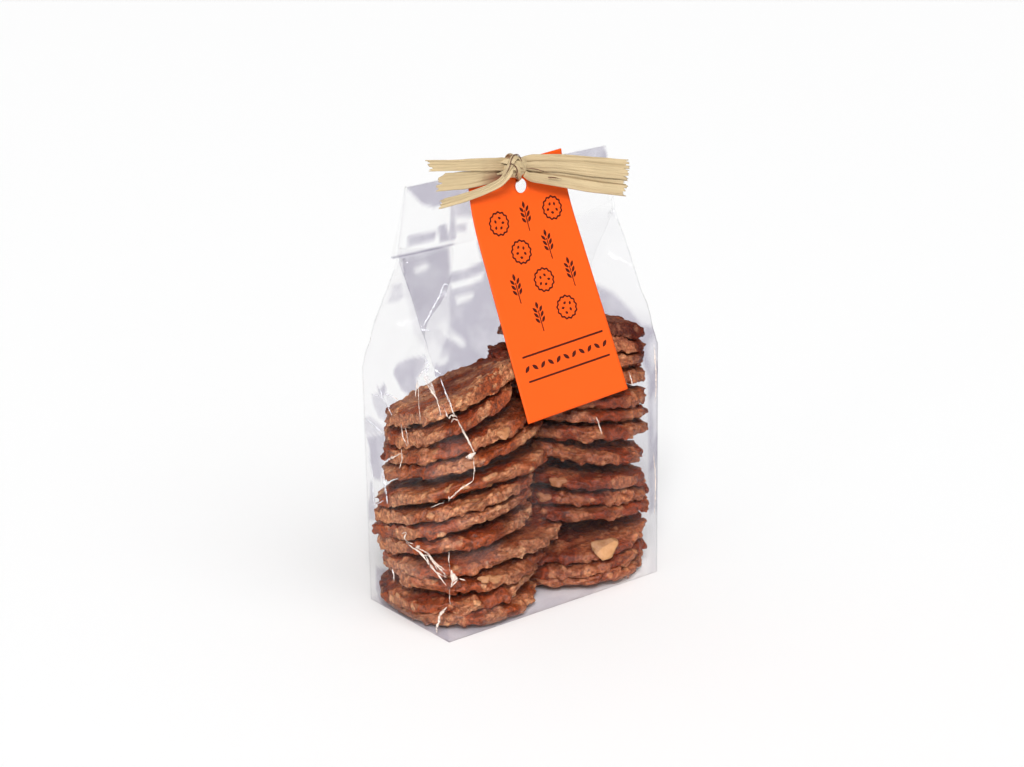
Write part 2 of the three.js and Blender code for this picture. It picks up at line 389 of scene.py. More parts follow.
def grain_group():
    """Node group: a mottled mask and its height, from noise at a scale and its fine part."""
    if "Grain" in bpy.data.node_groups:
        return bpy.data.node_groups["Grain"]
    group = bpy.data.node_groups.new("Grain", "ShaderNodeTree")
    face = group.interface
    face.new_socket("Vector", in_out="INPUT", socket_type="NodeSocketVector")
    for name in ("Scale", "Fine Scale", "Fine Share"):
        face.new_socket(name, in_out="INPUT", socket_type="NodeSocketFloat")
    for name in ("Mask", "Height"):
        face.new_socket(name, in_out="OUTPUT", socket_type="NodeSocketFloat")
    given = group.nodes.new("NodeGroupInput").outputs
    wanted = group.nodes.new("NodeGroupOutput").inputs
    noises = []
    for scale, detail in (("Scale", 4.0), ("Fine Scale", 3.0)):
        links = {"Vector": given["Vector"], "Scale": given[scale]}
        noises.append(add_node(group, "ShaderNodeTexNoise", links, Detail=detail).outputs["Fac"])
    mix = add_node(group, "ShaderNodeMix", {0: given["Fine Share"], 2: noises[0], 3: noises[1]})
    group.links.new(noises[0], wanted["Mask"])
    group.links.new(mix.outputs[0], wanted["Height"])
    return group


def grain_node(tree, vector, scale, fine_scale, fine_share):
    """The outputs of a Grain group in a material, with its own values."""
    node = tree.nodes.new("ShaderNodeGroup")
    node.node_tree = grain_group()
    tree.links.new(vector, node.inputs["Vector"])
    for name, value in (("Scale", scale), ("Fine Scale", fine_scale), ("Fine Share", fine_share)):
        node.inputs[name].default_value = value
    return node.outputs


# --- Settings ----------------------------------------------------------------------


def length_prop(name, description, default):
    """A length that the user may change."""
    return FloatProperty(name=name, description=description, default=default, unit="LENGTH")


def share_prop(name, description, default):
    """A share from 0 to 1 that the user may change."""
    return FloatProperty(name=name, description=description, default=default, min=0, max=1)


def power_prop(name, description, default):
    """A light's strength that the user may change."""
    return FloatProperty(name=name, description=description, default=default, min=0)


def count_prop(name, description, default, least):
    """A number of things that the user may change."""
    return IntProperty(name=name, description=description, default=default, min=least)


def colour_prop(name, description, default):
    """A colour that the user may change."""
    return FloatVectorProperty(
        name=name, description=description, default=default, subtype="COLOR", min=0, max=1
    )


class FilmSettings(bpy.types.PropertyGroup):
    """Sizes and colours of the clear bag."""

    thickness: length_prop("Thickness", "Thickness of the film", 0.0001)
    cell: length_prop("Cell", "Size of the film's mesh", 0.00127)
    # the tint is the colour of the film's painted shade; the clear colour shows where none is painted
    tint: colour_prop("Tint", "Colour seen through one face of the painted_shade film", (0.765, 0.75, 0.8))
    clear: colour_prop("Clear", "Colour seen through one face of the clear film", (0.998, 0.998, 0.998))
    shine: share_prop("Shine", "Share of light that one face reflects head on", 0.004)
    edge_shine: share_prop("Edge Shine", "Share that it reflects at a glancing angle", 0.18)
    # the next two give the painted sheen: diffuse whitish light that stands in for broad reflections on
    # the film
    painted_sheen: share_prop("Painted Sheen", "Share of light that the milky patches scatter", 0.026)
    painted_sheen_tone: colour_prop("Milk Tone", "Colour of the milky patches", (0.8, 0.64, 0.62))


class CookieSettings(bpy.types.PropertyGroup):
    """Sizes and colours of the cookies."""

    thickness: length_prop("Thickness", "Thickness of a cookie", 0.0077)
    flakes: count_prop("Flakes", "Oat flakes and lumps in one cookie", 420, 20)
    cell: length_prop("Cell", "Size of a cookie's mesh", 0.00085)
    masters: count_prop("Masters", "Different baked forms among the cookies", 6, 1)
    caramel: colour_prop("Caramel", "Colour of the dark caramel", (0.34, 0.06, 0.009))
    crust: colour_prop("Crust", "Colour of the baked crust", (0.40, 0.125, 0.047))
    oat: colour_prop("Oat", "Colour of the pale oat flakes", (0.75, 0.40, 0.19))
    almond: colour_prop("Almond", "Colour of the palest almond flakes", (0.56, 0.29, 0.125))
    # painted shade: Inside darkens the faces away from the rim, where the cookie above shades them, and
    # Shade darkens the whole right stack
    inside: colour_prop("Inside", "How the colour deepens away from the rim", (0.74, 0.54, 0.46))
    shade: share_prop("Shade", "How far the right stack is darkened", 0.85)


class TagSettings(bpy.types.PropertyGroup):
    """Sizes and colours of the card tag."""

    thickness: length_prop("Thickness", "Thickness of the card", 0.0005)
    card: colour_prop("Card", "Colour of the card", (0.84, 0.096, 0.006))
    ink: colour_prop("Ink", "Colour of the print", (0.045, 0.006, 0.002))


class RaffiaSettings(bpy.types.PropertyGroup):
    """Sizes and colours of the raffia."""

    thickness: length_prop("Thickness", "Thickness of a strand", 0.00035)
    straw: colour_prop("Straw", "Colour of the pale straw", (0.49, 0.375, 0.215))
    vein: colour_prop("Vein", "Colour of the darker veins", (0.27, 0.165, 0.075))
    edge: colour_prop("Edge", "Colour of the dark edges of the knot", (0.1, 0.026, 0.014))
    # colour of the painted shadow near the knot, reddish with the tag's orange reflected in it
    painted_knot_shadow: colour_prop("Painted Knot Shadow", "Colour of the stain near the knot", (0.17, 0.04, 0.016))


class StageSettings(bpy.types.PropertyGroup):
    """The floor, the light and the camera."""

    floor: colour_prop("Floor", "Colour of the floor", (0.93, 0.93, 0.93))
    light: power_prop("Light", "Strength of the light all round", 0.38)
    key: power_prop("Key", "Strength of the light from the front", 2.9)
    right: power_prop("Right", "Strength of the light from the right", 0.55)
    strips: power_prop("Strips", "Power of the two strips that shine in the film", 14)


# --- Film --------------------------------------------------------------------------


def ridged(point, size, seed):
    """Sharp-edged folds of noise, with 1 along their ridges."""
    at = Vector((point[0] / size + seed, point[1] / size - seed, point[2] / size + 2 * seed))
    return 1 - abs(noise.noise(at)) * 2


def soft_mask(places, corners, soft):
    """How far inside a polygon each place is: 0 outside, 1 inside, with a soft edge."""
    corners = np.array(corners, dtype=float)
    inside = np.zeros(len(places), dtype=bool)
    nearest = np.full(len(places), 1e9)
    for a, b in zip(corners, np.roll(corners, -1, axis=0)):
        edge = b - a
        share = np.clip((places - a) @ edge / (edge @ edge), 0, 1)
        nearest = np.minimum(nearest, np.hypot(*(places - a - share[:, None] * edge).T))
        if a[1] != b[1]:
            at = a[0] + (places[:, 1] - a[1]) / (b[1] - a[1]) * edge[0]
            inside ^= ((a[1] > places[:, 1]) != (b[1] > places[:, 1])) & (places[:, 0] < at)
    return np.clip(0.5 + np.where(inside, nearest, -nearest) / (2 * soft), 0, 1)


# Painted shade and reflection of the film: lavender-grey where it stands in for the dark room
# reflected in the film and the shade of its layers, cleared to white where bright reflections are
# painted. How strong each panel's painted shade is, then its patches. A patch has a strength,
# which clears the film where it is below 0, the softness of its edge, and its corners (place along
# the panel, height).
PAINTED_FILM_SHADE = {
    "front": (0.1, (
        (1.0, 1.2, ((-64, 112), (-46, 117), (-30, 121), (-18, 126), (-14, 168.5), (-33, 168.5),
                    (-44, 140), (-56, 128), (-64, 124))),
        (0.5, 1.2, ((-64, 116), (-52, 128), (-30, 140), (-28, 168.5), (-64, 168.5))),
        (1.0, 1.5, ((36, 141), (44, 136), (50, 128), (54, 121), (63, 117), (63, -2), (55, -2), (53, 98),
                    (46, 116), (34, 120))),
        (0.3, 1.5, ((-63, 8), (20, 7), (24, -2), (-63, -2))),
        (0.35, 3.0, ((-40, 60), (-8, 78), (30, 70), (34, 20), (0, 12), (-34, 20))),
        (-1.0, 0.7, ((-54.4, 161.6), (-53.1, 162.8), (-50.3, 163.5), (-46.8, 163.9), (-45.1, 163.2),
                     (-46.4, 162.0), (-49.5, 161.0), (-52.6, 160.6))),
        (-1.0, 0.8, ((-37, 158.2), (-33, 170), (-18, 170), (-18, 159.9), (-24, 158.6), (-29, 158))),
        (-1.0, 0.8, ((-38, 154.6), (-29.5, 154.6), (-19, 155.6), (-21, 152.9), (-27.6, 151.9),
                     (-38, 151.9))),
        (-0.9, 0.8, ((-37, 149), (-27.4, 148.8), (-28.4, 147), (-32.2, 146.1), (-37.6, 145.8))),
        (-0.7, 0.9, ((-49.2, 138.4), (-47.5, 137.1), (-46, 135.2), (-42.8, 134.2), (-40.1, 132),
                     (-39.3, 129.2), (-41.3, 129.1), (-43.9, 131.7), (-47.1, 133.5), (-49.4, 135.9))),
        (-0.7, 0.8, ((-56.6, 128), (-53.6, 128.4), (-49.9, 128.4), (-50.4, 126.6), (-53.1, 125),
                     (-56.6, 125.4))),
        (-0.6, 1.5, ((-50, 140), (-46, 141), (-39, 131), (-43, 130))),
        (-0.5, 1.5, ((-61, 133), (-55, 137), (-52, 130), (-59, 126))),
        (-0.7, 2.0, ((54, 112), (60, 116), (61, 104), (56, 100))),
        (-0.7, 2.0, ((55, 86), (60, 90), (61, 70), (57, 66))),
        (-0.7, 2.0, ((55, 50), (60, 56), (61, 34), (57, 30))),
        (-0.85, 2.0, ((44, 30), (64, 32), (64, -3), (30, -3))),
    )),
    "header": (0.0, (
        (1.0, 0.7, ((-58, 201), (-18, 201), (-19, 189), (-41, 187.3), (-47, 190), (-55, 199))),
        (0.9, 0.7, ((27, 201), (52, 201), (57, 190), (27, 190))),
        (0.95, 0.8, ((-55, 177.3), (-40, 176.5), (-41, 173), (-55, 172.5))),
        (0.95, 0.7, ((-39, 178.5), (-35, 179), (-32.5, 171), (-38, 171.5))),
        (1.0, 0.6, ((-32, 189), (-30, 189), (-29.5, 171), (-33, 171))),
        (0.9, 1.2, ((-31, 190), (-18, 190), (-18, 179), (-30, 181))),
        (0.8, 0.8, ((-29, 177.5), (-24, 177), (-24, 173.5), (-29, 174.5))),
        (1.0, 0.5, ((-57, 191), (-56, 191), (-58, 182), (-59, 182))),
    )),
    "left": (0.06, (
        (0.3, 1.2, ((-32, 169), (29, 169), (20, 148), (10, 138), (2, 131.5), (-32, 130.5))),
        (-0.9, 1.0, ((-24, 163.3), (-16, 164), (-16, 161), (-24, 160.5))),
        (-0.8, 1.0, ((13, 163), (20, 163), (20, 160), (13, 160))),
        (-1.0, 0.8, ((-2.5, 168), (2.5, 168), (2, 155), (-2, 155))),
        (0.95, 0.8, ((5.9, 114.8), (5.4, 117.7), (3.3, 120.5), (-1.9, 123), (-9.5, 125.3), (-19.7, 128),
                     (-19.2, 124.7), (-17, 121.5), (-12.5, 117.3), (-11, 111), (-4.8, 108), (0.2, 109))),
        (0.55, 1.2, ((27.4, 154.2), (23.5, 154.6), (19.7, 147.3), (21.5, 145.6), (26.8, 145),
                     (27.2, 151))),
        (0.9, 0.5, ((18.9, 105.6), (16.6, 105.1), (13, 109.2), (11.8, 106.4), (14.4, 101.6),
                    (17.7, 102.5))),
        (0.6, 0.8, ((23.6, 100.3), (19.1, 102.7), (14.9, 101.2), (11.2, 99.6), (7.7, 95.4), (12.6, 91.1),
                    (18.3, 91.2), (22.4, 96))),
        (0.4, 0.8, ((12.8, 104.4), (8.1, 103.9), (1.6, 103.1), (7.2, 96.1), (11.2, 99))),
        (0.5, 1.0, ((29.5, 87.9), (25.1, 89.9), (14.3, 87.8), (12.8, 85.4), (24.8, 81.3), (29.5, 80.6))),
        (0.9, 1.0, ((28.3, 79.6), (12.8, 85.4), (11.1, 79.2), (10.4, 73.8), (11.3, 70.6), (14.6, 63.6),
                    (21.6, 62.4), (24.5, 68.5), (24.3, 74.5))),
        (0.6, 0.8, ((25.4, 59.3), (22.8, 60.2), (20.8, 50.7), (20.6, 42.4), (28.7, 39.4), (28.6, 47.7),
                    (26, 51.8))),
        (0.8, 0.8, ((12, 22), (22, 19), (23, 7), (10, 8))),
        (0.5, 1.0, ((-31, 8), (22, 8), (22, -2), (-31, -2))),
    )),
    "right": (0.3, (
        (-1.0, 4.0, ((-40, 122), (40, 122), (40, 210), (-40, 210))),
        (-0.85, 3.0, ((-34, 32), (34, 36), (34, -3), (-34, -3))),
    )),
    "back": (0.02, ()),
    "base": (0.25, (
        (-0.9, 5.0, ((8, -9), (90, -9), (90, 9), (8, 9))),
    )),
    "flap": (0.0, (
        (1.0, 0.4, ((-62, 167.9), (-28, 167.9), (-28, 166.5), (-62, 166.5))),
    )),
}


# Painted sheen of the film over the cookies: a whitish layer that stands in for broad reflections, in the
# same way.
PAINTED_FILM_SHEEN = {
    "front": (0.0, (
        (0.9, 1.5, ((-60, 96), (-54.9, 96.1), (-47.9, 92.9), (-46.6, 87), (-52, 85.2), (-60, 87))),
        (0.9, 1.2, ((-60, 85), (-55.4, 85.2), (-46.8, 84.1), (-45.6, 78.1), (-56, 77), (-60, 76))),
        (0.8, 1.5, ((-60, 58), (-50.4, 58.3), (-42.4, 55.8), (-50.5, 52.9), (-60, 52))),
        (0.8, 1.5, ((-60, 49), (-56.8, 48.8), (-53, 45.7), (-55.4, 43), (-60, 43))),
        (0.9, 1.5, ((-57, 41), (-46, 41), (-34.1, 41.3), (-34.3, 33.4), (-46.2, 32.4), (-55.6, 35.2))),
        (0.7, 1.5, ((-60, 13), (-51.4, 13.8), (-34.9, 12.1), (-32.2, 0.2), (-45.4, 0), (-60, 2))),
        (0.1, 3.0, ((-6.1, 87), (54.3, 74.3), (58.3, 6.5), (37.5, 2), (-9.1, 6.8), (-25.2, 45),
                    (-21.3, 72))),
        (0.55, 2.5, ((-25.2, 72.5), (-6.4, 65.6), (-1.9, 50.6), (-11.5, 41.3), (-25.7, 47.7))),
        (0.4, 1.5, ((6, 58), (30, 55), (52, 50), (52, 44), (30, 48), (8, 50))),
    )),
    "left": (0.0, (
        (0.9, 1.5, ((-30, 96), (-27.3, 94.6), (-28.2, 87.2), (-30, 86))),
        (0.9, 1.2, ((-30, 85), (-17.2, 80.2), (-19.6, 73.8), (-30, 76))),
        (0.8, 1.5, ((-30, 58), (-26.8, 56.4), (-11.7, 51.1), (-16.7, 45.9), (-26.6, 50.9), (-30, 52))),
        (0.8, 1.5, ((-30, 49), (-17.2, 44.4), (-20.5, 41), (-30, 43))),
        (1.0, 1.5, ((5.3, 27.4), (-18.4, 36.1), (-30, 37), (-30, 27), (-18, 25.3), (3.6, 21.2))),
        (0.7, 1.5, ((-30, 13), (-25.3, 11.1), (-26.9, 5.8), (-30, 4))),
    )),
}


CLEAR = (0.0, ())           # a panel without patches
EVERY_HEIGHT = (-1, 210)    # from below the bag to above it
MERGE = 0.12                # how close the panels' points are merged along the creases
# Folds of the crumpled film, from wide to narrow: size, seed and share.
CRUMPLES = ((26, 1.3, 0.55), (11, 7.1, 0.3), (5, 3.9, 0.12))
CRUMPLE_LEVEL = 0.55            # height of a fold at which the film stays in its place
CRUMPLE_HEIGHTS = (98, 130)     # where the taut film over the cookies becomes loose
CRUMPLE_AMOUNTS = (0.25, 1.3)   # below and above them
CREASE_BAND = 22.0              # distance from the middle of the depth where the creases begin to hold
CREASE_REACH = 6.0              # distance from a crease at which the film crumples in full


def patches_at(patchwork, places):
    """Strength of a patchwork at places of a panel: its own, with its patches over it."""
    base, patches = patchwork
    total = np.full(len(places), base)
    for strength, soft, corners in patches:
        mask = soft_mask(places, corners, soft)
        if strength > 0:
            total = np.maximum(total, mask * strength)
        else:
            total = total * (1 + strength * mask)
    return total


def crumple(point, outward, amount):
    """Moves a point of the film by the folds of crumpled film."""
    folds = sum(share * (ridged(point, size, seed) - CRUMPLE_LEVEL) for size, seed, share in CRUMPLES)
    return point + outward * (amount * folds)


def film_panel(bm, panels, place, columns, rows):
    """A grid of the film; place gives a point and its place on a named panel."""
    painted_film_shade_layer = bm.verts.layers.float["painted_film_shade"]
    painted_sheen_layer = bm.verts.layers.float["painted_sheen_mask"]
    verts = bmesh.ops.create_grid(bm, x_segments=columns, y_segments=rows, size=1.0)["verts"]
    flat = []
    for vert in verts:
        vert.co, along, height = place(vert.co.x, vert.co.y)
        flat.append((along, height))
    flat = np.array(flat)
    # each point gets the painted shade and the painted sheen of its panel and its patches
    for panel, low, high in panels:
        chosen = (flat[:, 1] >= low) & (flat[:, 1] <= high)
        painted_film_shade = patches_at(PAINTED_FILM_SHADE[panel], flat[chosen])
        painted_sheen_mask = patches_at(PAINTED_FILM_SHEEN.get(panel, CLEAR), flat[chosen])
        for index, dull, painted_whitish in zip(np.nonzero(chosen)[0], painted_film_shade, painted_sheen_mask):
            verts[index][painted_film_shade_layer] = dull
            verts[index][painted_sheen_layer] = painted_whitish


def make_film(cell):
    """The bag: four panels and its bottom, crumpled and merged along the creases."""
    bm = new_bmesh("painted_film_shade", "painted_sheen_mask")
    wide, deep, tall = round(BAG_WIDTH / cell), round(BAG_DEPTH / cell), round(FOLD / cell)

    def across_panel(side):
        def place(u, v):
            point = film_point(u, side, FOLD * (v + 1) / 2)
            return point, point.x, point.z
        return place

    def through_panel(side):
        def place(u, v):
            point = film_point(side, u, FOLD * (v + 1) / 2)
            return point, u * BAG_DEPTH / 2, point.z
        return place

    def base_place(u, v):
        return film_point(u, v, 0), u * BAG_WIDTH / 2, 0

    top = PINCH + 2
    front = (("front", EVERY_HEIGHT[0], top), ("header", top, EVERY_HEIGHT[1]))
    film_panel(bm, front, across_panel(-1), wide, tall)
    film_panel(bm, (("back", *EVERY_HEIGHT),), across_panel(1), wide, tall)
    film_panel(bm, (("left", *EVERY_HEIGHT),), through_panel(-1), deep, tall)
    film_panel(bm, (("right", *EVERY_HEIGHT),), through_panel(1), deep, tall)
    film_panel(bm, (("base", *EVERY_HEIGHT),), base_place, wide, deep)
    bmesh.ops.remove_doubles(bm, verts=bm.verts, dist=MERGE)
    bmesh.ops.recalc_face_normals(bm, faces=bm.faces)
    inside = Vector((0, 0, SHOULDER / 2))
    if sum(face.normal.dot(face.calc_center_median() - inside) for face in bm.faces) < 0:
        bmesh.ops.reverse_faces(bm, faces=bm.faces)
    bm.normal_update()
    for vert in bm.verts:
        x, y, z = vert.co
        amount = lerp(*CRUMPLE_AMOUNTS, smoothstep(*CRUMPLE_HEIGHTS, z)) * smoothstep(0, 4, z)
        amount *= 1 - 0.75 * smoothstep(PINCH - 8, PINCH, z)
        if abs(y) > CREASE_BAND and z < SHOULDER:
            amount *= min(abs(abs(x) - BAG_WIDTH / 2), CREASE_REACH) / CREASE_REACH
        vert.co = crumple(vert.co, vert.normal, amount)
    return bm


def make_flap(cell):
    """The folded mouth, two sheets that hang behind the header from the fold."""
    bm = new_bmesh("painted_film_shade", "painted_sheen_mask")
    wide, tall = round(BAG_WIDTH / cell), round((FOLD - PINCH) / cell)
    for sheet in (0, 1):

        def place(u, v, sheet=sheet):
            down = (1 - v) / 2
            z = lerp(FOLD - 0.2, PINCH, down)
            wave = 0.5 + 0.5 * math.cos(u * math.pi * 1.5)
            stand = 4 * down**1.5 * (0.6 + 0.4 * wave)
            y = HEADER / 2 - 0.1 + stand + 1.1 * sheet * (0.25 + 0.75 * down)
            point = Vector((u * half_width(z), y, z))
            return crumple(point, Vector((0, 1, 0)), 0.3), point.x, z

        film_panel(bm, (("flap", *EVERY_HEIGHT),), place, wide, tall)
    bmesh.ops.recalc_face_normals(bm, faces=bm.faces)
    return bm


# Sharp pleats pressed into the film, whose white finish is a painted highlight: panel, width, height,
# points (along, height).
PLEATS = (
    # the folds that run down over the front of the left stack
    ("front", 1.3, 0.8, ((-58.0, 120.9), (-57.1, 113.1), (-54.8, 105.6), (-52.8, 103.3))),
    ("front", 0.9, 0.6, ((-59.4, 109.0), (-58.6, 106.4), (-57.3, 104.0))),
    ("front", 1.6, 0.8, ((-57.3, 103.7), (-56.0, 105.0), (-53.4, 103.8))),
    ("front", 1.2, 0.7, ((-56.1, 101.9), (-55.1, 103.1), (-52.8, 102.0))),
    ("front", 1.4, 0.8, ((-53.0, 102.6), (-50.3, 97.0), (-47.3, 91.2), (-45.0, 85.6))),
    ("front", 2.2, 0.8, ((-49.6, 84.6), (-47.1, 84.4), (-44.6, 85.6))),
    ("front", 0.6, 0.4, ((-45.8, 83.4), (-46.3, 78.0), (-47.2, 73.6))),
    ("front", 1.1, 0.7, ((-47.4, 73.5), (-53.2, 71.0), (-58.5, 67.2))),
    ("front", 0.6, 0.5, ((-58.5, 69.0), (-58.7, 66.4))),
    ("left", 0.6, 0.4, ((-29.5, 66.0), (-26.1, 64.3), (-22.3, 62.0))),
    # the crumpled corner above the left stack
    ("left", 1.5, 0.8, ((-19.7, 129.0), (-23.7, 127.5), (-26.3, 125.5))),
    ("left", 1.5, 0.8, ((-26.3, 125.5), (-22.4, 122.8), (-19.3, 119.2))),
    ("front", 1.4, 0.7, ((-59.6, 125.2), (-59.0, 124.2), (-57.2, 122.4))),
    ("left", 1.1, 0.7, ((-14.9, 118.9), (-19.2, 122.1), (-23.8, 124.3))),
    ("left", 1.8, 0.8, ((-19.3, 119.2), (-21.7, 116.7), (-24.3, 114.1), (-27.2, 111.5))),
    ("left", 0.7, 0.5, ((-13.2, 116.5), (-11.7, 113.0), (-10.6, 109.1))),
    ("left", 0.6, 0.4, ((-13.2, 116.9), (-12.7, 107.9), (-13.7, 99.1))),
    ("left", 0.9, 0.6, ((-22.0, 114.2), (-25.8, 112.3), (-29.0, 105.5))),
    # left panel, from the top
    ("left", 0.9, 0.6, ((22.6, 100.9), (16.8, 101.6), (14.0, 101.2))),
    ("left", 1.0, 0.6, ((13.8, 103.5), (8.1, 104.5), (2.5, 103.8))),
    ("left", 0.8, 0.6, ((13.5, 100.7), (10.3, 98.1), (7.7, 95.4))),
    ("left", 0.8, 0.6, ((16.6, 105.1), (15.2, 103.7), (14.7, 101.6))),
    ("left", 1.1, 0.6, ((28.6, 88.4), (21.1, 87.0), (13.8, 85.1))),
    ("left", 0.7, 0.5, ((25.7, 71.7), (22.9, 67.9), (20.8, 63.9))),
    ("left", 0.8, 0.5, ((0.9, 93.0), (-0.8, 88.2), (-4.6, 84.8))),
    ("left", 0.6, 0.4, ((-2.4, 92.4), (-4.0, 88.6), (-5.3, 85.8))),
    ("left", 1.0, 0.6, ((8.8, 74.6), (3.4, 77.9), (-1.6, 80.9))),
    ("left", 1.8, 0.9, ((11.2, 70.6), (9.9, 66.0), (8.8, 60.4), (8.0, 54.6))),
    ("left", 0.8, 0.6, ((21.5, 63.6), (21.4, 56.5), (20.0, 50.5), (11.8, 54.8))),
    ("left", 0.5, 0.4, ((-1.4, 82.7), (-3.0, 78.2), (-2.0, 74.1))),
    # the crushed fold at the lower left
    ("left", 1.3, 0.8, ((-2.7, 44.0), (-5.8, 45.4), (-4.7, 42.7), (-6.5, 41.1), (-10.1, 41.4))),
    ("left", 1.7, 0.9, ((-5.6, 40.4), (-11.7, 39.3), (-15.6, 38.3), (-18.9, 35.8), (-24.1, 32.0),
                        (-29.6, 27.3))),
    ("left", 1.5, 0.9, ((-14.5, 40.4), (-19.5, 39.6), (-22.3, 36.6), (-26.0, 34.5), (-29.8, 32.0))),
    ("left", 1.0, 0.7, ((-18.0, 38.7), (-20.8, 34.8), (-24.3, 32.3), (-29.6, 31.2))),
    ("left", 1.0, 0.7, ((-20.0, 39.9), (-23.7, 36.6), (-27.9, 34.9), (-29.8, 34.3))),
    ("left", 0.6, 0.5, ((-16.6, 38.0), (-20.6, 38.2), (-24.9, 33.6))),
    ("front", 1.5, 0.9, ((-58.3, 34.4), (-57.9, 31.0), (-58.7, 26.4))),
    ("front", 0.8, 0.6, ((-58.7, 26.4), (-57.0, 28.0), (-55.4, 29.2))),
    ("front", 0.6, 0.4, ((-55.0, 29.4), (-53.6, 28.9), (-52.0, 28.1))),
    # the bottom edge and the corner
    ("left", 2.0, 0.9, ((-29.5, 16.8), (-27.7, 14.6), (-25.5, 12.0), (-24.8, 8.6), (-22.0, 2.4))),
    ("left", 1.5, 0.7, ((5.6, 24.2), (4.8, 21.6), (4.6, 18.8))),
    ("front", 0.45, 0.3, ((-59.3, 43.0), (-59.4, 38.0), (-59.3, 34.0))),
    ("front", 0.45, 0.3, ((-59.3, 25.8), (-59.4, 22.0), (-59.3, 18.2))),
    # the right half of the front
    ("front", 0.8, 0.6, ((20.4, 87.0), (22.2, 82.3), (23.3, 78.3))),
    ("front", 0.7, 0.5, ((41.0, 103.0), (41.8, 99.6), (42.3, 96.7))),
    ("front", 0.9, 0.6, ((57.4, 112.0), (58.2, 96.0), (57.6, 84.0))),
    ("front", 0.8, 0.5, ((56.6, 60.0), (58.0, 46.0), (57.4, 30.0))),
    # the long fold of the gable
    ("front", 0.9, 0.3, ((-39.2, 154.2), (-41.2, 154.7), (-43.4, 153.1), (-44.6, 151.6), (-48.3, 148.8),
                         (-52.2, 146.0), (-56.6, 143.0), (-59.2, 141.2))),
    ("front", 1.8, 0.5, ((-60.0, 140.6), (-58.6, 140.4), (-56.0, 139.0))),
)

# Painted highlights, pale facets just in front of the film: panel, strength, soft edge, corners (along,
# height).
GLINTS = (
    ("left", 0.8, 0.5, ((-20.7, 127.4), (-24.5, 128.8), (-26.4, 126.8), (-22.5, 124.8))),
    ("left", 0.7, 0.5, ((-20.0, 119.8), (-23.2, 121.6), (-26.6, 118.0), (-27.0, 113.4), (-23.8, 115.4))),
    ("left", 0.7, 0.4, ((-11.7, 40.1), (-13.6, 42.1), (-15.7, 42.3), (-14.4, 40.1))),
    ("front", 0.8, 0.4, ((-58.3, 33.6), (-56.8, 32.3), (-55.4, 29.6), (-57.9, 28.4))),
    ("left", 0.5, 0.5, ((9.6, 69.0), (11.4, 69.6), (10.2, 60.0), (8.4, 57.4))),
    ("front", 0.35, 0.6, ((-42.2, 153.6), (-44.6, 151.2), (-43.0, 149.4), (-40.6, 150.6))),
)


def panel_point(panel, along, height, lift):
    """A point just in front of the front or the left panel, at a place of it."""
    if panel == "front":
        return film_point(along / half_width(height), -1, height) + Vector((0, -lift, 0))
    return film_point(-1, along / (BAG_DEPTH / 2), height) + Vector((-lift, 0, 0))


def coolness(panel, along, height):
    """1 where a fold has nothing warm behind it, 0 where it lies before the cookies."""
    if panel == "front":
        return smoothstep(100, 122, height)
    return max(smoothstep(3, 8, along), smoothstep(112, 126, height))


def add_pleat(bm, panel, width, height, points):
    """A narrow ridge of folded film along points of a panel, tapering to its ends."""
    glint, cool = bm.verts.layers.float["glint"], bm.verts.layers.float["cool"]
    steps = 10 * (len(points) - 1)
    path = smooth_path([(u, z, 0) for u, z in points], steps)
    rough = [
        noise.noise(Vector((spot.x * 0.6, spot.y * 0.6, width * 9))) for spot, _ in path
    ]
    rows = []
    for index, (spot, tangent) in enumerate(path):
        share = index / steps
        taper = math.sin(math.pi * min(max(share, 0.04), 0.96)) ** 0.5
        taper *= 0.68 + 0.7 * rough[index]
        side = Vector((-tangent.y, tangent.x, 0)) * width / 2 * taper
        spot = spot + Vector((-tangent.y, tangent.x, 0)) * 0.3 * rough[-1 - index]
        row = []
        for step, lift in ((-1, 0.4), (0, height * taper + 0.15), (1, 0.4)):
            place = panel_point(panel, spot.x + side.x * step, spot.y + side.y * step, lift)
            row.append(bm.verts.new(place))
            row[-1][glint] = 1.0
            row[-1][cool] = coolness(panel, spot.x, spot.y)
        rows.append(row)
    for first, second in zip(rows, rows[1:]):
        for i in (0, 1):
            bm.faces.new((first[i], first[i + 1], second[i + 1], second[i]))


def add_glint(bm, panel, strength, soft, corners):
    """A painted highlight: a pale facet just in front of the film, fading at its edge."""
    glint, cool = bm.verts.layers.float["glint"], bm.verts.layers.float["cool"]
    rim = [bm.verts.new((along, height, 0)) for along, height in corners]
    facet = bmesh.ops.contextual_create(bm, geom=rim)["faces"]
    bmesh.ops.inset_individual(bm, faces=facet, thickness=soft, use_even_offset=True)
    inner = {vert for face in facet for vert in face.verts}
    whole = set(rim) | inner
    bmesh.ops.triangulate(bm, faces=facet)
    for vert in whole:
        vert[glint] = strength if vert in inner else 0.0
        vert[cool] = coolness(panel, vert.co.x, vert.co.y)
        vert.co = panel_point(panel, vert.co.x, vert.co.y, 0.7)


def make_pleats():
    """All the pleats and the facets of painted highlight."""
    bm = new_bmesh("glint", "cool")
    for pleat in PLEATS:
        add_pleat(bm, *pleat)
    for facet in GLINTS:
        add_glint(bm, *facet)
    bmesh.ops.recalc_face_normals(bm, faces=bm.faces)
    return bm


class COOKIEBAG_OT_film(bpy.types.Operator):
    """Make the clear film bag with its gussets, folded header, flap and pleats"""

    bl_idname = "cookiebag.film"
    bl_label = "Film"

    def execute(self, context):
        settings = context.scene.cookie_bag_film
        cell = settings.cell / MM
        clear = film_material(settings)
        sheets = (
            ("film_bag", make_film(cell), clear),
            ("film_flap", make_flap(cell), clear),
            ("film_pleats", make_pleats(), painted_highlight_material()),
        )
        for name, bm, material in sheets:
            piece = add_object(name, mesh_from(bm, name), material, "bag_of_cookies")
            thicken(piece, settings.thickness, -1.0)
        return {"FINISHED"}


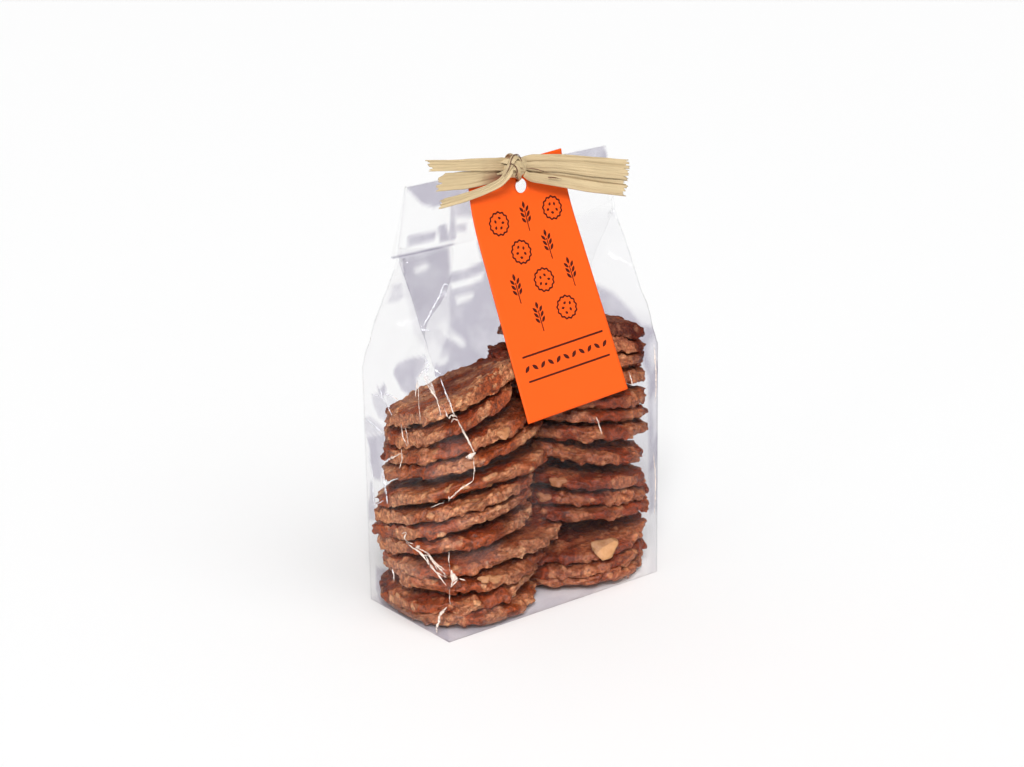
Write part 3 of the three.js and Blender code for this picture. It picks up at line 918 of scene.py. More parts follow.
def film_material(settings):
    """Clear glossy film with painted reflections: lavender-grey painted shade, painted highlights left
    clear.
    """
    material, tree, where = new_material("clear_film")
    folds = grain_node(tree, where, 90.0, 420.0, 0.25)
    uneven = ramp_node(tree, folds["Mask"], (0.3, 0.72), (0.62, 1.08))
    # painted shade: the film tints what lies behind it lavender-grey where the dark room's reflection is
    # painted
    painted_film_shade = math_node(tree, "MULTIPLY", attribute(tree, "painted_film_shade"), uneven)
    tint = mix_colour(tree, painted_film_shade, settings.clear, settings.tint)
    clear = add_node(tree, "ShaderNodeBsdfTransparent", {"Color": tint})
    normal = bump_node(tree, folds["Height"], 0.5, 0.002)
    shine = add_node(tree, "ShaderNodeBsdfGlossy", {"Normal": normal}, Roughness=0.07)
    facing = add_node(tree, "ShaderNodeLayerWeight", {"Normal": normal}).outputs["Facing"]
    edge = math_node(tree, "MULTIPLY", math_node(tree, "POWER", facing, 4.0), settings.edge_shine)
    share = math_node(tree, "ADD", edge, settings.shine, clamp=True)
    glossy = mix_shader(tree, share, clear, shine)
    mottle = ramp_node(tree, folds["Mask"], (0.35, 0.4), (0.6, 1.3))
    # painted sheen: a diffuse whitish layer mixed in where broad reflections on the film are painted
    painted_sheen_mask = math_node(tree, "MULTIPLY", attribute(tree, "painted_sheen_mask"), mottle)
    painted_sheen = tree.nodes.new("ShaderNodeBsdfDiffuse")
    painted_sheen.inputs["Color"].default_value = (*settings.painted_sheen_tone, 1)
    show(tree, mix_shader(tree, math_node(tree, "MULTIPLY", painted_sheen_mask, settings.painted_sheen), glossy, painted_sheen))
    return material


def painted_highlight_material():
    """Painted highlights along the folds of the film: patchy white, warmer where the cookies lie behind.
    """
    material, tree, where = new_material("film_painted_highlight")
    grain = grain_node(tree, where, 260.0, 900.0, 0.4)
    tone = ramp_node(tree, attribute(tree, "cool"), (0.1, (0.93, 0.78, 0.68)), (0.9, (0.9, 0.9, 0.96)))
    clear = tree.nodes.new("ShaderNodeBsdfTransparent")
    white = add_node(tree, "ShaderNodeBsdfPrincipled", {"Base Color": tone}, Roughness=0.15)
    patchy = ramp_node(tree, grain["Height"], (0.4, 0.2), (0.56, 0.9))
    share = math_node(tree, "MULTIPLY", patchy, attribute(tree, "glint"))
    show(tree, mix_shader(tree, share, clear, white))
    return material


# --- Cookies -----------------------------------------------------------------------

# inner holds the painted shade of a cookie's faces away from its rim
COOKIE_LAYERS = ("oat", "relief", "warm", "inner")
RIM_WAVES = ((2, 0.022), (5, 0.018), (9, 0.011), (16, 0.005))   # waves round a rim, and size
DOUGH_INSET = 1.1           # how far the dough and the flakes' middles stay inside the rim
FLAKE_INSET = 1.4
FLAKE_LENGTH = (1.2, 2.8)   # half the least length of a flake, and how much more it may be
RIM_SHARE = 0.34            # share of the flakes that lie round the rim
LUMP, CRUMB, FINE = 0.4, 0.46, 0.38     # heights of the roughness, from coarse to fine
WARP = 0.8                  # how far a cookie is bent out of true
SPOT_STRENGTH = 0.45        # how much a patch of caramel adds at its middle
FILM_GAP = 0.5              # room between the cookies and the film
ALMOND_INSET = 0.6          # how far an almond flake's middle lies inside the rim
ALMOND_HALF = 1.1           # half its thickness


def rim_lobe(waves, angle):
    """The uneven round of a rim at an angle, about 1."""
    uneven = (size * math.sin(turns * angle + wave) for (turns, size), wave in zip(RIM_WAVES, waves))
    return sum(uneven, 1.0)


def add_dough(bm, waves, half):
    """The thin round of dough, flat on both sides, with an uneven rim."""
    bmesh.ops.create_uvsphere(bm, u_segments=96, v_segments=24, radius=1.0)
    for vert in bm.verts:
        x, y, z = vert.co
        angle, flat = math.atan2(y, x), math.hypot(x, y)
        reach = (COOKIE_RADIUS - DOUGH_INSET) * rim_lobe(waves, angle) * flat**0.42
        level = math.copysign(abs(z) ** 0.75, z) * half * 0.85
        vert.co = (reach * math.cos(angle), reach * math.sin(angle), level)


def add_flakes(bm, rng, waves, half, flakes):
    """Oat flakes and lumps, the first of them round the rim; gives each one's place and tone."""
    spots = []
    for index in range(flakes):
        rim = index < flakes * RIM_SHARE
        angle = rng.uniform(0, 2 * math.pi)
        length = FLAKE_LENGTH[0] + FLAKE_LENGTH[1] * rng.random() ** 2
        edge = (COOKIE_RADIUS - FLAKE_INSET) * rim_lobe(waves, angle)
        radius = edge * rng.uniform(0.95, 1.0) if rim else edge * math.sqrt(rng.uniform(0, 0.92))
        size = Matrix.Diagonal((length, length * rng.uniform(0.5, 0.85), rng.uniform(0.6, 1.3), 1))
        if rim:
            lean = rng.normal(0, 0.3), rng.normal(0, 0.15)
            turn = Euler((*lean, angle + math.pi / 2 + rng.normal(0, 0.2)))
            level = rng.uniform(-0.6, 0.6) * half
        else:
            turn = Euler((rng.normal(0, 0.16), rng.normal(0, 0.16), rng.uniform(0, 2 * math.pi)))
            level = math.copysign(rng.uniform(0.55, 0.85), rng.uniform(-0.6, 1)) * half
        centre = Vector((radius * math.cos(angle), radius * math.sin(angle), level))
        place = Matrix.Translation(centre) @ turn.to_matrix().to_4x4() @ size
        bmesh.ops.create_icosphere(bm, subdivisions=2, radius=1.0, matrix=place)
        spots.append((centre, rng.random()))
    return spots


def fuse(bm, cell):
    """One closed skin over everything in a bmesh, smoothed once."""
    form = bpy.data.objects.new("master", bpy.data.meshes.new("master"))
    bm.to_mesh(form.data)
    bm.free()
    bpy.context.scene.collection.objects.link(form)
    remesh = form.modifiers.new("Fuse", "REMESH")
    remesh.mode = "VOXEL"
    remesh.voxel_size = cell
    baked = apply_modifiers(form)
    bm = bmesh.new()
    bm.from_mesh(baked)
    bpy.data.meshes.remove(baked)
    axes = {"use_axis_x": True, "use_axis_y": True, "use_axis_z": True}
    bmesh.ops.smooth_vert(bm, verts=bm.verts, factor=0.5, **axes)
    bm.normal_update()
    return bm


def bake_master(seed, settings):
    """One baked form: flakes and lumps in a thin round of dough, fused and roughened."""
    rng = np.random.default_rng(seed)
    half = settings.thickness / MM / 2
    waves = rng.uniform(0, 2 * math.pi, len(RIM_WAVES))
    bm = bmesh.new()
    add_dough(bm, waves, half)
    spots = add_flakes(bm, rng, waves, half, settings.flakes)
    bm = fuse(bm, settings.cell / MM)
    tree = kdtree.KDTree(len(spots))
    for index, (centre, _) in enumerate(spots):
        tree.insert(centre, index)
    tree.balance()
    oat, relief, warm, inner = (bm.verts.layers.float.new(name) for name in COOKIE_LAYERS)
    for vert in bm.verts:
        rim = COOKIE_RADIUS * rim_lobe(waves, math.atan2(vert.co.y, vert.co.x))
        # painted shade: 1 on the faces away from the rim, which the cookie above shades, 0 at the rim
        vert[inner] = 1 - smoothstep(0.8, 0.97, vert.co.xy.length / rim)
        lump = noise.noise(vert.co * 0.34 + Vector((seed, 0, 0)))
        crumb = noise.noise(vert.co * 0.75 + Vector((0, 0, seed)))
        fine = noise.noise(vert.co * 1.7 + Vector((0, seed, 0)))
        vert[relief] = 0.5 + 0.35 * lump + 0.6 * crumb + 0.5 * fine
        warmth = noise.noise(Vector((vert.co.x * 0.07, vert.co.y * 0.07, 3.3 * seed)))
        vert[warm] = 0.5 + 0.9 * warmth
        _, near, far = tree.find(vert.co)
        vert[oat] = spots[near][1] * (1 - smoothstep(1.2, 3.6, far))
        vert.co += vert.normal * (LUMP * lump + CRUMB * crumb + FINE * fine)
    return bm


def attribute_values(mesh, name):
    """The values of a mesh's attribute, one a point."""
    values = np.empty(len(mesh.vertices), dtype=np.float32)
    mesh.attributes[name].data.foreach_get("value", values)
    return values


def shape_cookie(master, spec, index, covered, shade, spots):
    """Places a copy of a master: turned, fitted to its radius, warped, tilted and laid."""
    rng = np.random.default_rng(100 + index)
    cx, cy, cz, slope_x, slope_y, radius, stretch, dome = spec
    spin = rng.uniform(0, 2 * math.pi)
    mesh = master.copy()
    place = np.empty(len(mesh.vertices) * 3, dtype=np.float32)
    mesh.vertices.foreach_get("co", place)
    x, y, z = place.reshape(-1, 3).astype(float).T
    cos, sin = math.cos(spin), math.sin(spin)
    turned = x * cos - y * sin, x * sin + y * cos
    x = turned[0] * radius / COOKIE_RADIUS * stretch
    y = turned[1] * radius / COOKIE_RADIUS
    wave = rng.uniform(0, 2 * math.pi, 2)
    warp = WARP * np.sin(x / 13 + wave[0]) * np.cos(y / 15 + wave[1])
    warp -= (dome + rng.uniform(-0.3, 0.9)) * (x**2 + y**2) / COOKIE_RADIUS**2
    z = z + warp + cz + COOKIE_HALF + slope_x * x + slope_y * y
    place = np.stack([x + cx, y + cy, z], axis=1)
    keep_inside(place)
    mesh.vertices.foreach_set("co", (place * MM).astype(np.float32).ravel())
    # painted shade: kept on every cookie but the top one, and raised over the whole of a shaded stack
    inner = np.maximum(attribute_values(mesh, "inner") * covered, shade)
    warm = attribute_values(mesh, "warm")
    for degrees, reach in spots:
        angle = math.radians(degrees)
        away = np.hypot(x - radius * math.cos(angle), y - radius * math.sin(angle))
        warm += SPOT_STRENGTH * np.clip(1.5 - away / reach, 0, 1)
    for name, values in (("inner", inner), ("warm", warm)):
        mesh.attributes[name].data.foreach_set("value", values)
    mesh.update()
    return mesh


def keep_inside(place):
    """Presses points that would reach past the film back inside it."""
    heights = np.clip(place[:, 2], 0.3, None)
    place[:, 2] = heights
    columns = np.clip(place[:, 0] / (BAG_WIDTH / 2), -1, 1)
    keys = np.round(np.stack([columns * 40, heights], axis=1)).astype(int)
    unique, where = np.unique(keys, axis=0, return_inverse=True)
    limits = np.empty(len(unique))
    sides = np.empty(len(unique))
    for i, (column, z) in enumerate(unique):
        across = column / 40
        full = fill(across * BAG_WIDTH / 2, float(z))
        limits[i] = film_point(across, 1, float(z)).y - FILM_GAP
        sides[i] = half_width(z) + SIDE_BULGE * full - FILM_GAP
    limit, side = limits[where.ravel()], sides[where.ravel()]
    place[:, 1] = np.clip(place[:, 1], -limit, limit)
    bow = 1 - np.clip(place[:, 1] / (BAG_DEPTH / 2 + 4), -1, 1) ** 4
    corner = BAG_WIDTH / 2 - FILM_GAP
    side = corner + (side - corner) * bow
    place[:, 0] = np.clip(place[:, 0], -side, side)


def make_almonds():
    """Broad pale flakes of almond, set in the rims of some cookies."""
    bm = new_bmesh("oat")
    oat = bm.verts.layers.float["oat"]
    stacks = {"left": LEFT_STACK, "right": RIGHT_STACK}
    for side, number, degrees, over, length, width, tilt, pale in ALMONDS:
        cx, cy, cz, slope_x, slope_y, radius, stretch, _ = stacks[side][number - 1]
        angle = math.radians(degrees)
        reach = radius - ALMOND_INSET
        x, y = reach * stretch * math.cos(angle), reach * math.sin(angle)
        centre = Vector((x + cx, y + cy, cz + COOKIE_HALF + over + slope_x * x + slope_y * y))
        turn = Euler((math.radians(tilt), 0, angle + math.pi / 2)).to_matrix().to_4x4()
        size = Matrix.Diagonal((length, width, ALMOND_HALF, 1))
        for vert in bmesh.ops.create_icosphere(bm, subdivisions=4, radius=1.0)["verts"]:
            corners = 0.2 * math.cos(3 * math.atan2(vert.co.y, vert.co.x) + math.radians(270))
            uneven = 1 + corners * vert.co.xy.length + 0.4 * noise.noise(vert.co * 1.3 + centre)
            uneven += 0.12 * noise.noise(vert.co * 5 + centre)
            vert.co = turn @ size @ (vert.co * uneven) + centre
            vert[oat] = pale
    bmesh.ops.recalc_face_normals(bm, faces=bm.faces)
    return bm


def almond_material(settings):
    """Toasted almond, from the crust's brown to a pale tan, with a fine even grain."""
    material, tree, where = new_material("toasted_almond")
    grain = grain_node(tree, where, 420.0, 1500.0, 0.3)
    tone = mix_colour(tree, attribute(tree, "oat"), settings.crust, settings.almond)
    darker = ramp_node(tree, grain["Height"], (0.35, (0.8, 0.72, 0.66)), (0.6, 1.0))
    colour = mix_colour(tree, 1.0, tone, darker, "MULTIPLY")
    normal = bump_node(tree, grain["Height"], 0.5, 0.0004)
    show(tree, matter(tree, {"Base Color": colour, "Normal": normal}, 0.5, 0.3))
    return material


def cookie_material(settings):
    """Baked oats in caramel: pale flakes, brown crust, dark glossy caramel in the hollows, and painted
    shade.
    """
    material, tree, where = new_material("baked_florentine")
    patches = grain_node(tree, where, 150.0, 1300.0, 0.5)
    pores = grain_node(tree, where, 800.0, 2400.0, 0.5)
    high = math_node(tree, "MULTIPLY", attribute(tree, "relief"), 0.45)
    base = math_node(tree, "ADD", high, math_node(tree, "MULTIPLY", patches["Height"], 0.6))
    pale_crust = tuple(0.45 * a + 0.55 * b for a, b in zip(settings.crust, settings.oat))
    crust = ramp_node(tree, base, (0.32, settings.crust * 0.5), (0.5, settings.crust), (0.72, pale_crust))
    rust = ramp_node(tree, base, (0.35, settings.caramel * 0.4), (0.62, settings.caramel))
    where_rust = ramp_node(tree, attribute(tree, "warm"), (0.5, 0.0), (0.68, 1.0))
    crust = mix_colour(tree, where_rust, crust, rust)
    pale = ramp_node(tree, attribute(tree, "oat"), (0.72, 0.0), (0.97, 1.0))
    colour = mix_colour(tree, math_node(tree, "MULTIPLY", pale, 0.68), crust, settings.oat)
    # painted shade: darkens the faces away from the rim, where the cookie above shades them
    colour = mix_colour(tree, attribute(tree, "inner"), colour, settings.inside, "MULTIPLY")
    speck = ramp_node(
        tree, pores["Height"], (0.37, (0.3, 0.25, 0.22)), (0.46, (0.85, 0.83, 0.82)),
        (0.54, 1.06), (0.65, (1.7, 1.66, 1.6)),
    )
    colour = mix_colour(tree, 1.0, colour, speck, "MULTIPLY")
    rough = ramp_node(tree, base, (0.2, 0.34), (0.7, 0.62))
    normal = bump_node(tree, patches["Height"], 0.8, 0.0008)
    skin = {"Base Color": colour, "Roughness": rough, "Normal": normal}
    show(tree, matter(tree, skin, specular=0.3))
    return material


class COOKIEBAG_OT_cookies(bpy.types.Operator):
    """Make the two stacks of florentine cookies and the almond flakes in their rims"""

    bl_idname = "cookiebag.cookies"
    bl_label = "Cookies"

    def execute(self, context):
        settings = context.scene.cookie_bag_cookie
        material = cookie_material(settings)
        masters = []
        for seed in range(settings.masters):
            bm = bake_master(seed + 1, settings)
            master = bpy.data.meshes.new("master")
            bm.to_mesh(master)
            bm.free()
            smooth_faces(master)
            masters.append(master)
        index = 0
        # the right stack gets painted shade all over; the top cookie of each stack gets none on its faces
        for side, stack, shade in (("left", LEFT_STACK, 0.0), ("right", RIGHT_STACK, settings.shade)):
            for number, spec in enumerate(stack, 1):
                name = f"cookie_{side}_{number:02d}"
                master = masters[index % len(masters)]
                spots = CARAMEL_SPOTS.get((side, number), ())
                mesh = shape_cookie(master, spec, index, number < len(stack), shade, spots)
                mesh.name = name
                add_object(name, mesh, material, "bag_of_cookies")
                index += 1
        for master in masters:
            bpy.data.meshes.remove(master)
        mesh = mesh_from(make_almonds(), "almond_flakes")
        add_object("almond_flakes", mesh, almond_material(settings), "bag_of_cookies")
        return {"FINISHED"}


# --- Tag ---------------------------------------------------------------------------


def card_material(settings):
    """Coated orange card with a faint mottle and a soft sheen."""
    material, tree, where = new_material("tag_card")
    grain = grain_node(tree, where, 60.0, 2600.0, 0.6)
    mottle = math_node(tree, "MULTIPLY", grain["Mask"], 0.18)
    tone = mix_colour(tree, mottle, settings.card, settings.card * 0.82)
    normal = bump_node(tree, grain["Height"], 0.12, 0.0002)
    show(tree, matter(tree, {"Base Color": tone, "Normal": normal}, 0.55, 0.12))
    return material


def ink_material(settings):
    """Dark brown ink, a little uneven."""
    material, tree, where = new_material("tag_ink")
    grain = grain_node(tree, where, 220.0, 2600.0, 0.5)
    mottle = math_node(tree, "MULTIPLY", grain["Mask"], 0.5)
    tone = mix_colour(tree, mottle, settings.ink, settings.ink * 2.2)
    show(tree, matter(tree, {"Base Color": tone}, 0.5, 0.12))
    return material


def make_card_mesh():
    """The bent card with its punched hole, as a sheet in the middle of its thickness."""
    bm = bmesh.new()
    columns, rows = round(TAG_WIDTH), round(TAG_LENGTH)
    bmesh.ops.create_grid(bm, x_segments=columns, y_segments=rows, size=1.0, calc_uvs=True)
    hole = Vector(TAG_HOLE)
    for vert in bm.verts:
        vert.co = Vector((vert.co.x * TAG_WIDTH / 2, (1 - vert.co.y) / 2 * TAG_LENGTH, 0))
    inner = [v for v in bm.verts if (v.co.xy - hole).length < TAG_HOLE_RADIUS - 0.35]
    bmesh.ops.delete(bm, geom=inner, context="VERTS")
    for vert in bm.verts:
        reach = (vert.co.xy - hole).length
        if vert.is_boundary and reach < TAG_HOLE_RADIUS + 2:
            vert.co.xy = hole + (vert.co.xy - hole).normalized() * TAG_HOLE_RADIUS
    for vert in bm.verts:
        vert.co = tag_point(vert.co.x, vert.co.y, 0)
    bmesh.ops.recalc_face_normals(bm, faces=bm.faces)
    if sum(face.normal.y for face in bm.faces) > 0:
        bmesh.ops.reverse_faces(bm, faces=bm.faces)
    return mesh_from(bm, "tag_card")


# Measures of the print, in millimetres: one biscuit and one ear stand for all of them.
PRINT_LIFT = 0.31       # how far the print lies in front of the card's middle surface
PRINT_MIDDLE = 1.0      # its middle across the card
BISCUIT_RADIUS = 4.9
BISCUIT_SCALLOPS = 13
BORDER_DOWN = (83.0, 88.5, 94.0)    # upper bar, leaves and lower bar
BORDER_LENGTH = 44.0
BORDER_STEP = 4.2       # from leaf to leaf
PRINT_ROWS = (          # height down the card, and places across it
    (24.5, (-14.0, 1.0, 16.0)),
    (39.0, (-6.5, 8.5)),
    (53.5, (-14.0, 1.0, 16.0)),
    (68.0, (-6.5, 8.5)),
)


def lay_print(verts, across, down, turn=0.0):
    """Lays flat verts in millimetres on the front of the card."""
    cos, sin = math.cos(turn), math.sin(turn)
    for vert in verts:
        x, y = vert.co.x, vert.co.y
        vert.co = tag_point(across + x * cos - y * sin, down - (x * sin + y * cos), PRINT_LIFT)


def print_scalloped_ring(bm, across, down, radius, width):
    """A printed ring of a width, with a scalloped edge."""
    grid = bmesh.ops.create_grid(bm, x_segments=96, y_segments=1, size=1.0)
    for vert in grid["verts"]:
        angle = math.pi * (vert.co.x + 1)
        reach = radius * (1 + 0.055 * math.cos(BISCUIT_SCALLOPS * angle)) + width / 2 * vert.co.y
        vert.co = Vector((reach * math.cos(angle), reach * math.sin(angle), 0))
    lay_print(grid["verts"], across, down)


def print_bar(bm, across, down, length, height, turn=0.0):
    """A printed bar with round ends."""
    bar = bmesh.ops.create_circle(bm, cap_ends=True, radius=height / 2, segments=20)
    for vert in bar["verts"]:
        vert.co.x += math.copysign(max(length - height, 0) / 2, vert.co.x)
    lay_print(bar["verts"], across, down, turn)


def print_leaf(bm, across, down, length, width, turn):
    """A printed leaf or oat grain, pointed at both ends."""
    leaf = bmesh.ops.create_circle(bm, cap_ends=True, radius=1.0, segments=24)
    for vert in leaf["verts"]:
        x, y = vert.co.x, vert.co.y
        vert.co = Vector((x * length / 2, y * width / 2 * (1 - 0.55 * x * x), 0))
    lay_print(leaf["verts"], across, down, turn)


def print_biscuit(bm, across, down, turn):
    """A printed round biscuit with a scalloped edge and five crumbs."""
    print_scalloped_ring(bm, across, down, BISCUIT_RADIUS, 0.85)
    for dot in range(5):
        angle = turn + math.radians(72 * dot)
        reach = 2.5 if dot % 2 else 2.1
        x, y = reach * math.cos(angle), reach * math.sin(angle)
        print_leaf(bm, across + x, down - y, 1.7, 1.2, 2 * angle)


def print_ear(bm, across, down):
    """A printed ear of oats on its stalk."""
    upright = math.radians(90)
    print_bar(bm, across, down + 2.2, 9.4, 0.5, upright)
    print_leaf(bm, across, down - 4.9, 3.2, 1.5, upright)
    for side in (-1, 1):
        turn = math.radians(90 - side * 36)
        for step in range(3):
            print_leaf(bm, across + side * 1.55, down - 3.0 + 2.35 * step, 3.1, 1.35, turn)


def print_pattern(bm):
    """A generic print: biscuits and ears of oats in rows, over a plain border."""
    for row, (down, places) in enumerate(PRINT_ROWS):
        for column, across in enumerate(places):
            if (row // 2 + column) % 2:
                print_ear(bm, across, down)
            else:
                print_biscuit(bm, across, down, 0.7 * row + column)
    upper, middle, lower = BORDER_DOWN
    print_bar(bm, PRINT_MIDDLE, upper, BORDER_LENGTH, 0.9)
    for step in range(-5, 6):
        turn = math.radians(45 if step % 2 else -45)
        print_leaf(bm, PRINT_MIDDLE + BORDER_STEP * step, middle, 3.6, 1.7, turn)
    print_bar(bm, PRINT_MIDDLE, lower, BORDER_LENGTH, 0.9)


class COOKIEBAG_OT_tag(bpy.types.Operator):
    """Make the card tag and its generic print"""

    bl_idname = "cookiebag.tag"
    bl_label = "Tag"

    def execute(self, context):
        settings = context.scene.cookie_bag_tag
        card = add_object("tag_card", make_card_mesh(), card_material(settings), "tag")
        thicken(card, settings.thickness)
        bm = bmesh.new()
        print_pattern(bm)
        bmesh.ops.recalc_face_normals(bm, faces=bm.faces)
        bm.normal_update()
        away = [face for face in bm.faces if face.normal.y > 0]
        bmesh.ops.reverse_faces(bm, faces=away)
        add_object("tag_print", mesh_from(bm, "tag_print"), ink_material(settings))
        return {"FINISHED"}


# --- Raffia ------------------------------------------------------------------------
# Each strand, named for the node it replaces: points along its middle, three widths, cup,
# slant of its end, and how strong its painted shadow is where it leaves the knot.
STRANDS = {
    "raffia_tail_upper_left": (
        ((-6.5, -9.9, 202.3), (-9.2, -9.8, 202.6), (-18.8, -8.9, 203.9), (-29.1, -8.0, 205.2),
         (-46.5, -6.8, 207.6)), (3.6, 5.6, 4.8), 0.4, -3.0, 0.15,
    ),
    "raffia_tail_middle_left": (
        ((-6.5, -8.6, 198.6), (-9.0, -8.4, 197.9), (-19.3, -7.9, 198.0), (-27.7, -7.2, 198.2),
         (-42.6, -6.4, 199.5)), (3.2, 6.4, 7.6), 0.5, 1.5, 0.85,
    ),
    "raffia_tail_lower_left": (
        ((-8.2, -13.4, 203.4), (-9.6, -13.7, 200.6), (-12.0, -13.2, 197.8), (-16.0, -11.9, 194.9),
         (-27.7, -9.4, 191.8), (-44.6, -7.6, 190.2)), (2.2, 3.5, 3.8), 0.3, 2.0, 0.00,
    ),
    "raffia_ribbon_top_right": (
        ((0.6, -9.4, 202.6), (4.6, -9.0, 202.1), (19.9, -11.0, 199.9), (36.2, -15.0, 196.6),
         (51.8, -19.5, 193.5)), (2.8, 4.4, 4.9), 0.4, 0.8, 0.10,
    ),
    "raffia_ribbon_upper_right": (
        ((0.6, -10.3, 200.6), (4.6, -10.5, 199.4), (18.8, -12.3, 197.0), (35.1, -16.4, 193.3),
         (50.2, -20.9, 190.0)), (2.8, 4.4, 5.2), 0.4, 0.6, 0.10,
    ),
    "raffia_ribbon_middle_right": (
        ((0.6, -9.4, 198.4), (4.6, -9.0, 196.9), (19.8, -11.0, 193.3), (36.2, -15.0, 189.1),
         (50.3, -19.5, 186.0)), (2.6, 4.4, 5.2), 0.4, 0.4, 0.10,
    ),
    "raffia_ribbon_lower_right": (
        ((0.6, -10.3, 196.8), (4.6, -10.5, 194.6), (18.7, -12.3, 190.4), (35.1, -16.4, 185.8),
         (48.9, -20.9, 182.6)), (2.6, 4.2, 4.8), 0.4, 0.2, 0.10,
    ),
}
WIDEST = 0.12           # share of a strand's length over which it leaves the knot
VEIN_STRETCH = (1.1, 11.0, 1.0)     # how often the veins change along and across a strand


def smooth_path(points, count, finer=24):
    """Evenly spaced points and tangents on a smooth curve through the given points."""
    known = [Vector(p) for p in points]
    ends = [known[0] * 2 - known[1], *known, known[-1] * 2 - known[-2]]
    fine = []
    for a, b, c, d in zip(ends, ends[1:], ends[2:], ends[3:]):
        straight, bend, twist = c - a, 2 * a - 5 * b + 4 * c - d, 3 * b - a - 3 * c + d
        for step in range(finer):
            t = step / finer
            fine.append(0.5 * (2 * b + straight * t + bend * t * t + twist * t**3))
    fine.append(known[-1])
    lengths = [0.0]
    for first, second in zip(fine, fine[1:]):
        lengths.append(lengths[-1] + (second - first).length)
    path = []
    for i in range(count + 1):
        want = lengths[-1] * i / count
        j = max(k for k in range(len(lengths)) if lengths[k] <= want + 1e-9)
        j = min(j, len(fine) - 2)
        share = (want - lengths[j]) / max(lengths[j + 1] - lengths[j], 1e-9)
        path.append((fine[j].lerp(fine[j + 1], share), (fine[j + 1] - fine[j]).normalized()))
    return path


def lay_strand(bm, spec, seed, columns=18, rows=70):
    """A flat, pleated strand of raffia along its path, with a torn end."""
    points, widths, cup, slant, painted_knot_shadow = spec
    painted_knot_shadow_layer = bm.verts.layers.float["painted_knot_shadow"]
    path = smooth_path(points, rows)
    grid = bmesh.ops.create_grid(bm, x_segments=rows, y_segments=columns, size=1.0, calc_uvs=True)
    up = Vector((0, 0, 1))
    for vert in grid["verts"]:
        along = (vert.co.x + 1) / 2
        share = vert.co.y / 2
        centre, tangent = path[min(round(along * rows), rows)]
        normal = tangent.cross(up).normalized()
        side = normal.cross(tangent).normalized()
        if along < WIDEST:
            width = lerp(widths[0], widths[1], smoothstep(0, WIDEST, along))
        else:
            width = lerp(widths[1], widths[2], smoothstep(WIDEST, 0.8, along))
        width *= 1 + 0.05 * noise.noise(Vector((along * 7, seed, 0)))
        pleat = noise.noise(Vector((share * 9, along * 2.2, seed * 3.1)))
        fine = noise.noise(Vector((share * 26, along * 5, seed * 1.7)))
        bow = noise.noise(Vector((along * 4, 0, seed * 5.3)))
        out = cup * (1 - 4 * share * share) + 0.42 * pleat + 0.2 * fine + 0.5 * bow * along
        trim = -slant * (share + 0.5) * along**8
        tear = noise.cell(Vector((share * 7 + 20, seed * 1.3, 0.5)))
        trim += (1.6 * (tear - 0.5) + 0.9 * noise.noise(Vector((share * 14, seed, 2)))) * along**12
        vert.co = centre + side * share * width + tangent * trim + normal * out
        # painted shadow near the knot, on one side of the strand, reddish as if the tag's orange were
        # reflected in it
        vert[painted_knot_shadow_layer] = painted_knot_shadow * (1 - smoothstep(0.14, 0.46, along)) * smoothstep(0.6, -0.2, share)


def raffia_material(settings):
    """Dry palm fibre: pale straw with darker veins along the strand, a dull sheen, and painted shadow
    near the knot.
    """
    material, tree, where = new_material("raffia_straw")
    uv = tree.nodes.new("ShaderNodeTexCoord").outputs["UV"]
    stretch = add_node(tree, "ShaderNodeMapping", {"Vector": uv})
    stretch.inputs["Scale"].default_value = VEIN_STRETCH
    veins = grain_node(tree, stretch.outputs[0], 1.0, 3.0, 0.5)
    broad = grain_node(tree, where, 70.0, 600.0, 0.2)
    shade = math_node(tree, "ADD", math_node(tree, "MULTIPLY", veins["Height"], 0.75),
                      math_node(tree, "MULTIPLY", broad["Mask"], 0.3))
    light = settings.straw * 1.18
    colour = ramp_node(tree, shade, (0.36, settings.vein), (0.48, settings.straw), (0.68, light))
    colour = mix_colour(tree, attribute(tree, "edge"), colour, settings.edge)
    # painted shadow where the strands leave the knot, with the tag's orange reflected in it
    colour = mix_colour(tree, attribute(tree, "painted_knot_shadow"), colour, settings.painted_knot_shadow)
    normal = bump_node(tree, veins["Height"], 0.8, 0.0005)
    show(tree, matter(tree, {"Base Color": colour, "Normal": normal}, 0.58, 0.3))
    return material


KNOT_MIDDLE = Vector((-4.4, -8.6, 200.2))
# Strands of the knot: points, three widths and cup.
KNOT_STRANDS = (
    # up from the lower left over the knot, through the hole, and round behind the fold
    (((-11.6, -11.6, 198.0), (-10.2, -12.6, 200.6), (-8.9, -13.2, 203.1),
      (-7.1, -12.8, 205.2), (-4.5, -11.8, 205.4), (-2.2, -10.8, 203.4), (-1.0, -10.2, 200.4),
      (-0.4, -9.0, 196.9), (1.0, -6.4, 193.6), (2.3, -1.6, 192.2), (2.6, 1.6, 192.6),
      (2.8, 4.2, 194.6), (2.6, 4.6, 198.0), (2.3, 2.6, 201.6), (1.2, -1.6, 203.0),
      (-0.6, -5.6, 203.4), (-3.0, -8.6, 203.2)), (2.0, 3.4, 2.4), 0.3),
    # from the middle tail across the front and down to the hole
    (((-12.4, -8.0, 198.4), (-9.9, -10.4, 199.4), (-7.6, -12.8, 201.4), (-5.6, -13.4, 201.0),
      (-3.9, -12.6, 198.4), (-2.4, -10.6, 195.8), (-0.6, -7.6, 194.4)), (0.8, 2.8, 1.6), 0.4),
    # from the upper tail across to the right
    (((-11.6, -8.4, 203.4), (-9.4, -10.2, 203.7), (-6.2, -12.0, 203.6), (-2.6, -12.2, 201.8),
      (0.4, -10.8, 199.6), (4.6, -8.4, 198.6)), (1.0, 3.4, 2.0), 0.4),
)
